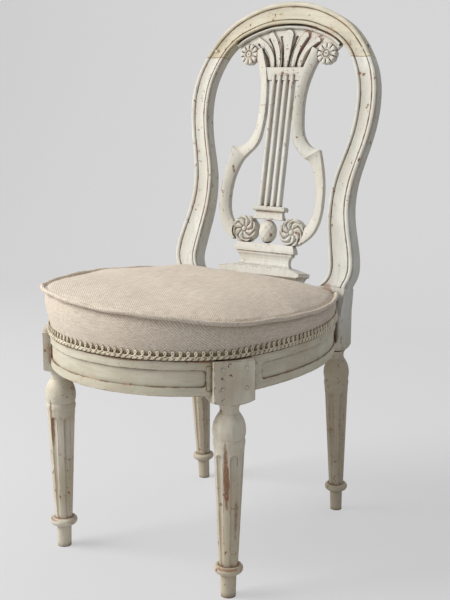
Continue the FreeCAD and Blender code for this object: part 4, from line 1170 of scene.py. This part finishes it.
def makeWebbing():
    for number, x in enumerate(webs["lengthwise"]):
        front, rear = planReach(x)
        crossings = [(y, x) for y in webs["crosswise"]]
        name = "web_lengthwise_%d" % (number + 1)
        strap = webStrap(name, front + 0.006, rear - 0.002, True, crossings, number)
        if number == 0:
            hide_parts("webbing_lengthwise")
    for number, y in enumerate(webs["crosswise"]):
        half = min(planHalf(y - 0.02), planHalf(y + 0.02)) - 0.002
        crossings = [(x, y) for x in webs["lengthwise"]]
        name = "web_crosswise_%d" % (number + 1)
        strap = webStrap(name, -half, half, False, crossings, number + 1)
        if number == 0:
            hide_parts("webbing_crosswise")


def makeHessian():
    line, _ = planLine(-0.0060, seatPlan["coverRear"] - 0.004, 160)
    middle = np.array([0.0, 0.13])
    low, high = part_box("hessian")
    rows = []
    for share in (1.0, 0.8, 0.6, 0.4, 0.2, 0.04):
        spot = middle + (line - middle) * share
        rows.append(np.stack([spot[:, 0], spot[:, 1], np.full(len(line), low.z - 0.00005)], 1))
    sheet = planted(np.array(rows))
    lower = sheet.reshape(-1, 3)
    upper = lower + (0, 0, high.z - low.z)
    faces = gridFaces(len(rows), len(line), True)
    allFaces = faces + gridFaces(len(rows), len(line), True, len(lower))
    count = len(line)
    allFaces.append(tuple(range(len(lower) - count, len(lower))))
    allFaces.append(tuple(range(2 * len(lower) - count, 2 * len(lower))))
    for i in range(count):
        allFaces.append((i, (i + 1) % count, len(lower) + (i + 1) % count, len(lower) + i))
    piece = makePiece("hessian_sheet", list(lower) + list(upper), allFaces, hessianCloth,
                      smooth=False, replaced=("hessian",))


makeWebbing()
makeHessian()
print("webbing ready")


# Floor, backdrop and light

studio = {
    "backdrop": (0.600, 0.598, 0.604),
    "glow": (0.770, 0.768, 0.778),
    "keySize": 1.9,
    "keyPower": 128.0,
    "fillPower": 6.0,
    "rimPower": 9.0,
    "world": 0.36,
}


def makeBackdrop():
    finish = Finish("pale_backdrop")
    s = studio
    for node in list(finish.tree.nodes):
        if node != finish.output:
            finish.tree.nodes.remove(node)
    diffuse = finish.tree.nodes.new("ShaderNodeBsdfDiffuse")
    diffuse.inputs[0].default_value = (*s["backdrop"], 1)
    glow = finish.tree.nodes.new("ShaderNodeEmission")
    glow.inputs[0].default_value = (*s["glow"], 1)
    glow.inputs[1].default_value = 1.0
    mixer = finish.tree.nodes.new("ShaderNodeMixShader")
    seen = finish.node("LightPath", take="Is Camera Ray")
    finish.feed(mixer.inputs[0], seen * 0.6)
    finish.tree.links.new(diffuse.outputs[0], mixer.inputs[1])
    finish.tree.links.new(glow.outputs[0], mixer.inputs[2])
    finish.tree.links.new(mixer.outputs[0], finish.output.inputs[0])
    profile = [(-4.0, 0.0), (1.6, 0.0)]
    for step in range(1, 13):
        turn = step / 12 * math.pi / 2
        profile.append((1.6 + 1.2 * math.sin(turn), 1.2 - 1.2 * math.cos(turn)))
    profile.append((2.8, 5.0))
    points = [(x, y, z) for y, z in profile for x in (-6.0, 6.0)]
    faces = gridFaces(len(profile), 2, False)
    mesh = bpy.data.meshes.new("backdrop")
    mesh.from_pydata(points, [], faces)
    mesh.materials.append(finish.material)
    mesh.polygons.foreach_set("use_smooth", [True] * len(mesh.polygons))
    piece = bpy.data.objects.new("backdrop", mesh)
    scene.collection.objects.link(piece)


def addLamp(name, place, target, size, power, colour=(1, 1, 1)):
    light = bpy.data.lights.new(name, "AREA")
    light.size = size
    light.energy = power
    light.color = colour
    lamp = bpy.data.objects.new(name, light)
    scene.collection.objects.link(lamp)
    lamp.location = place
    lamp.rotation_euler = (Vector(target) - Vector(place)).to_track_quat("-Z", "Y").to_euler()


def makeStudio():
    s = studio
    makeBackdrop()
    addLamp("window_light", (-2.1, -1.7, 2.3), (0, 0.1, 0.45), s["keySize"], s["keyPower"],
            (1.0, 0.985, 0.96))
    addLamp("fill_light", (2.2, -2.4, 1.5), (0, 0, 0.45), 2.4, s["fillPower"], (0.95, 0.97, 1.0))
    addLamp("top_light", (0.3, 0.9, 2.8), (0, 0.1, 0.5), 1.8, s["rimPower"])
    world = bpy.data.worlds.new("soft_room")
    scene.world = world
    world.use_nodes = True
    world.node_tree.nodes["Background"].inputs[0].default_value = (0.95, 0.97, 1.0, 1)
    world.node_tree.nodes["Background"].inputs[1].default_value = s["world"]


makeStudio()


# Camera, where the photograph was taken from

camera = {
    "place": (1.0170, -1.3153, 0.7999),
    "yaw": 0.5753,
    "pitch": 0.2004,
    "roll": 0.0046,
    "lens": 63.295,
}


def makeCamera():
    c = camera
    data = bpy.data.cameras.new("camera")
    data.sensor_width = 36.0
    data.sensor_height = 36.0
    data.sensor_fit = "AUTO"
    data.lens = c["lens"]
    made = bpy.data.objects.new("camera", data)
    scene.collection.objects.link(made)
    yaw, pitch, roll = c["yaw"], c["pitch"], c["roll"]
    ahead = Vector((-math.sin(yaw) * math.cos(pitch), math.cos(yaw) * math.cos(pitch), -math.sin(pitch)))
    right = Vector((math.cos(yaw), math.sin(yaw), 0))
    up = right.cross(ahead)
    right, up = right * math.cos(roll) + up * math.sin(roll), up * math.cos(roll) - right * math.sin(roll)
    turn = Matrix((right, up, -ahead)).transposed().to_4x4()
    made.matrix_world = Matrix.Translation(inChair(*c["place"])) @ turn
    scene.camera = made


makeCamera()
scene.view_settings.view_transform = "Standard"
print("camera ready")
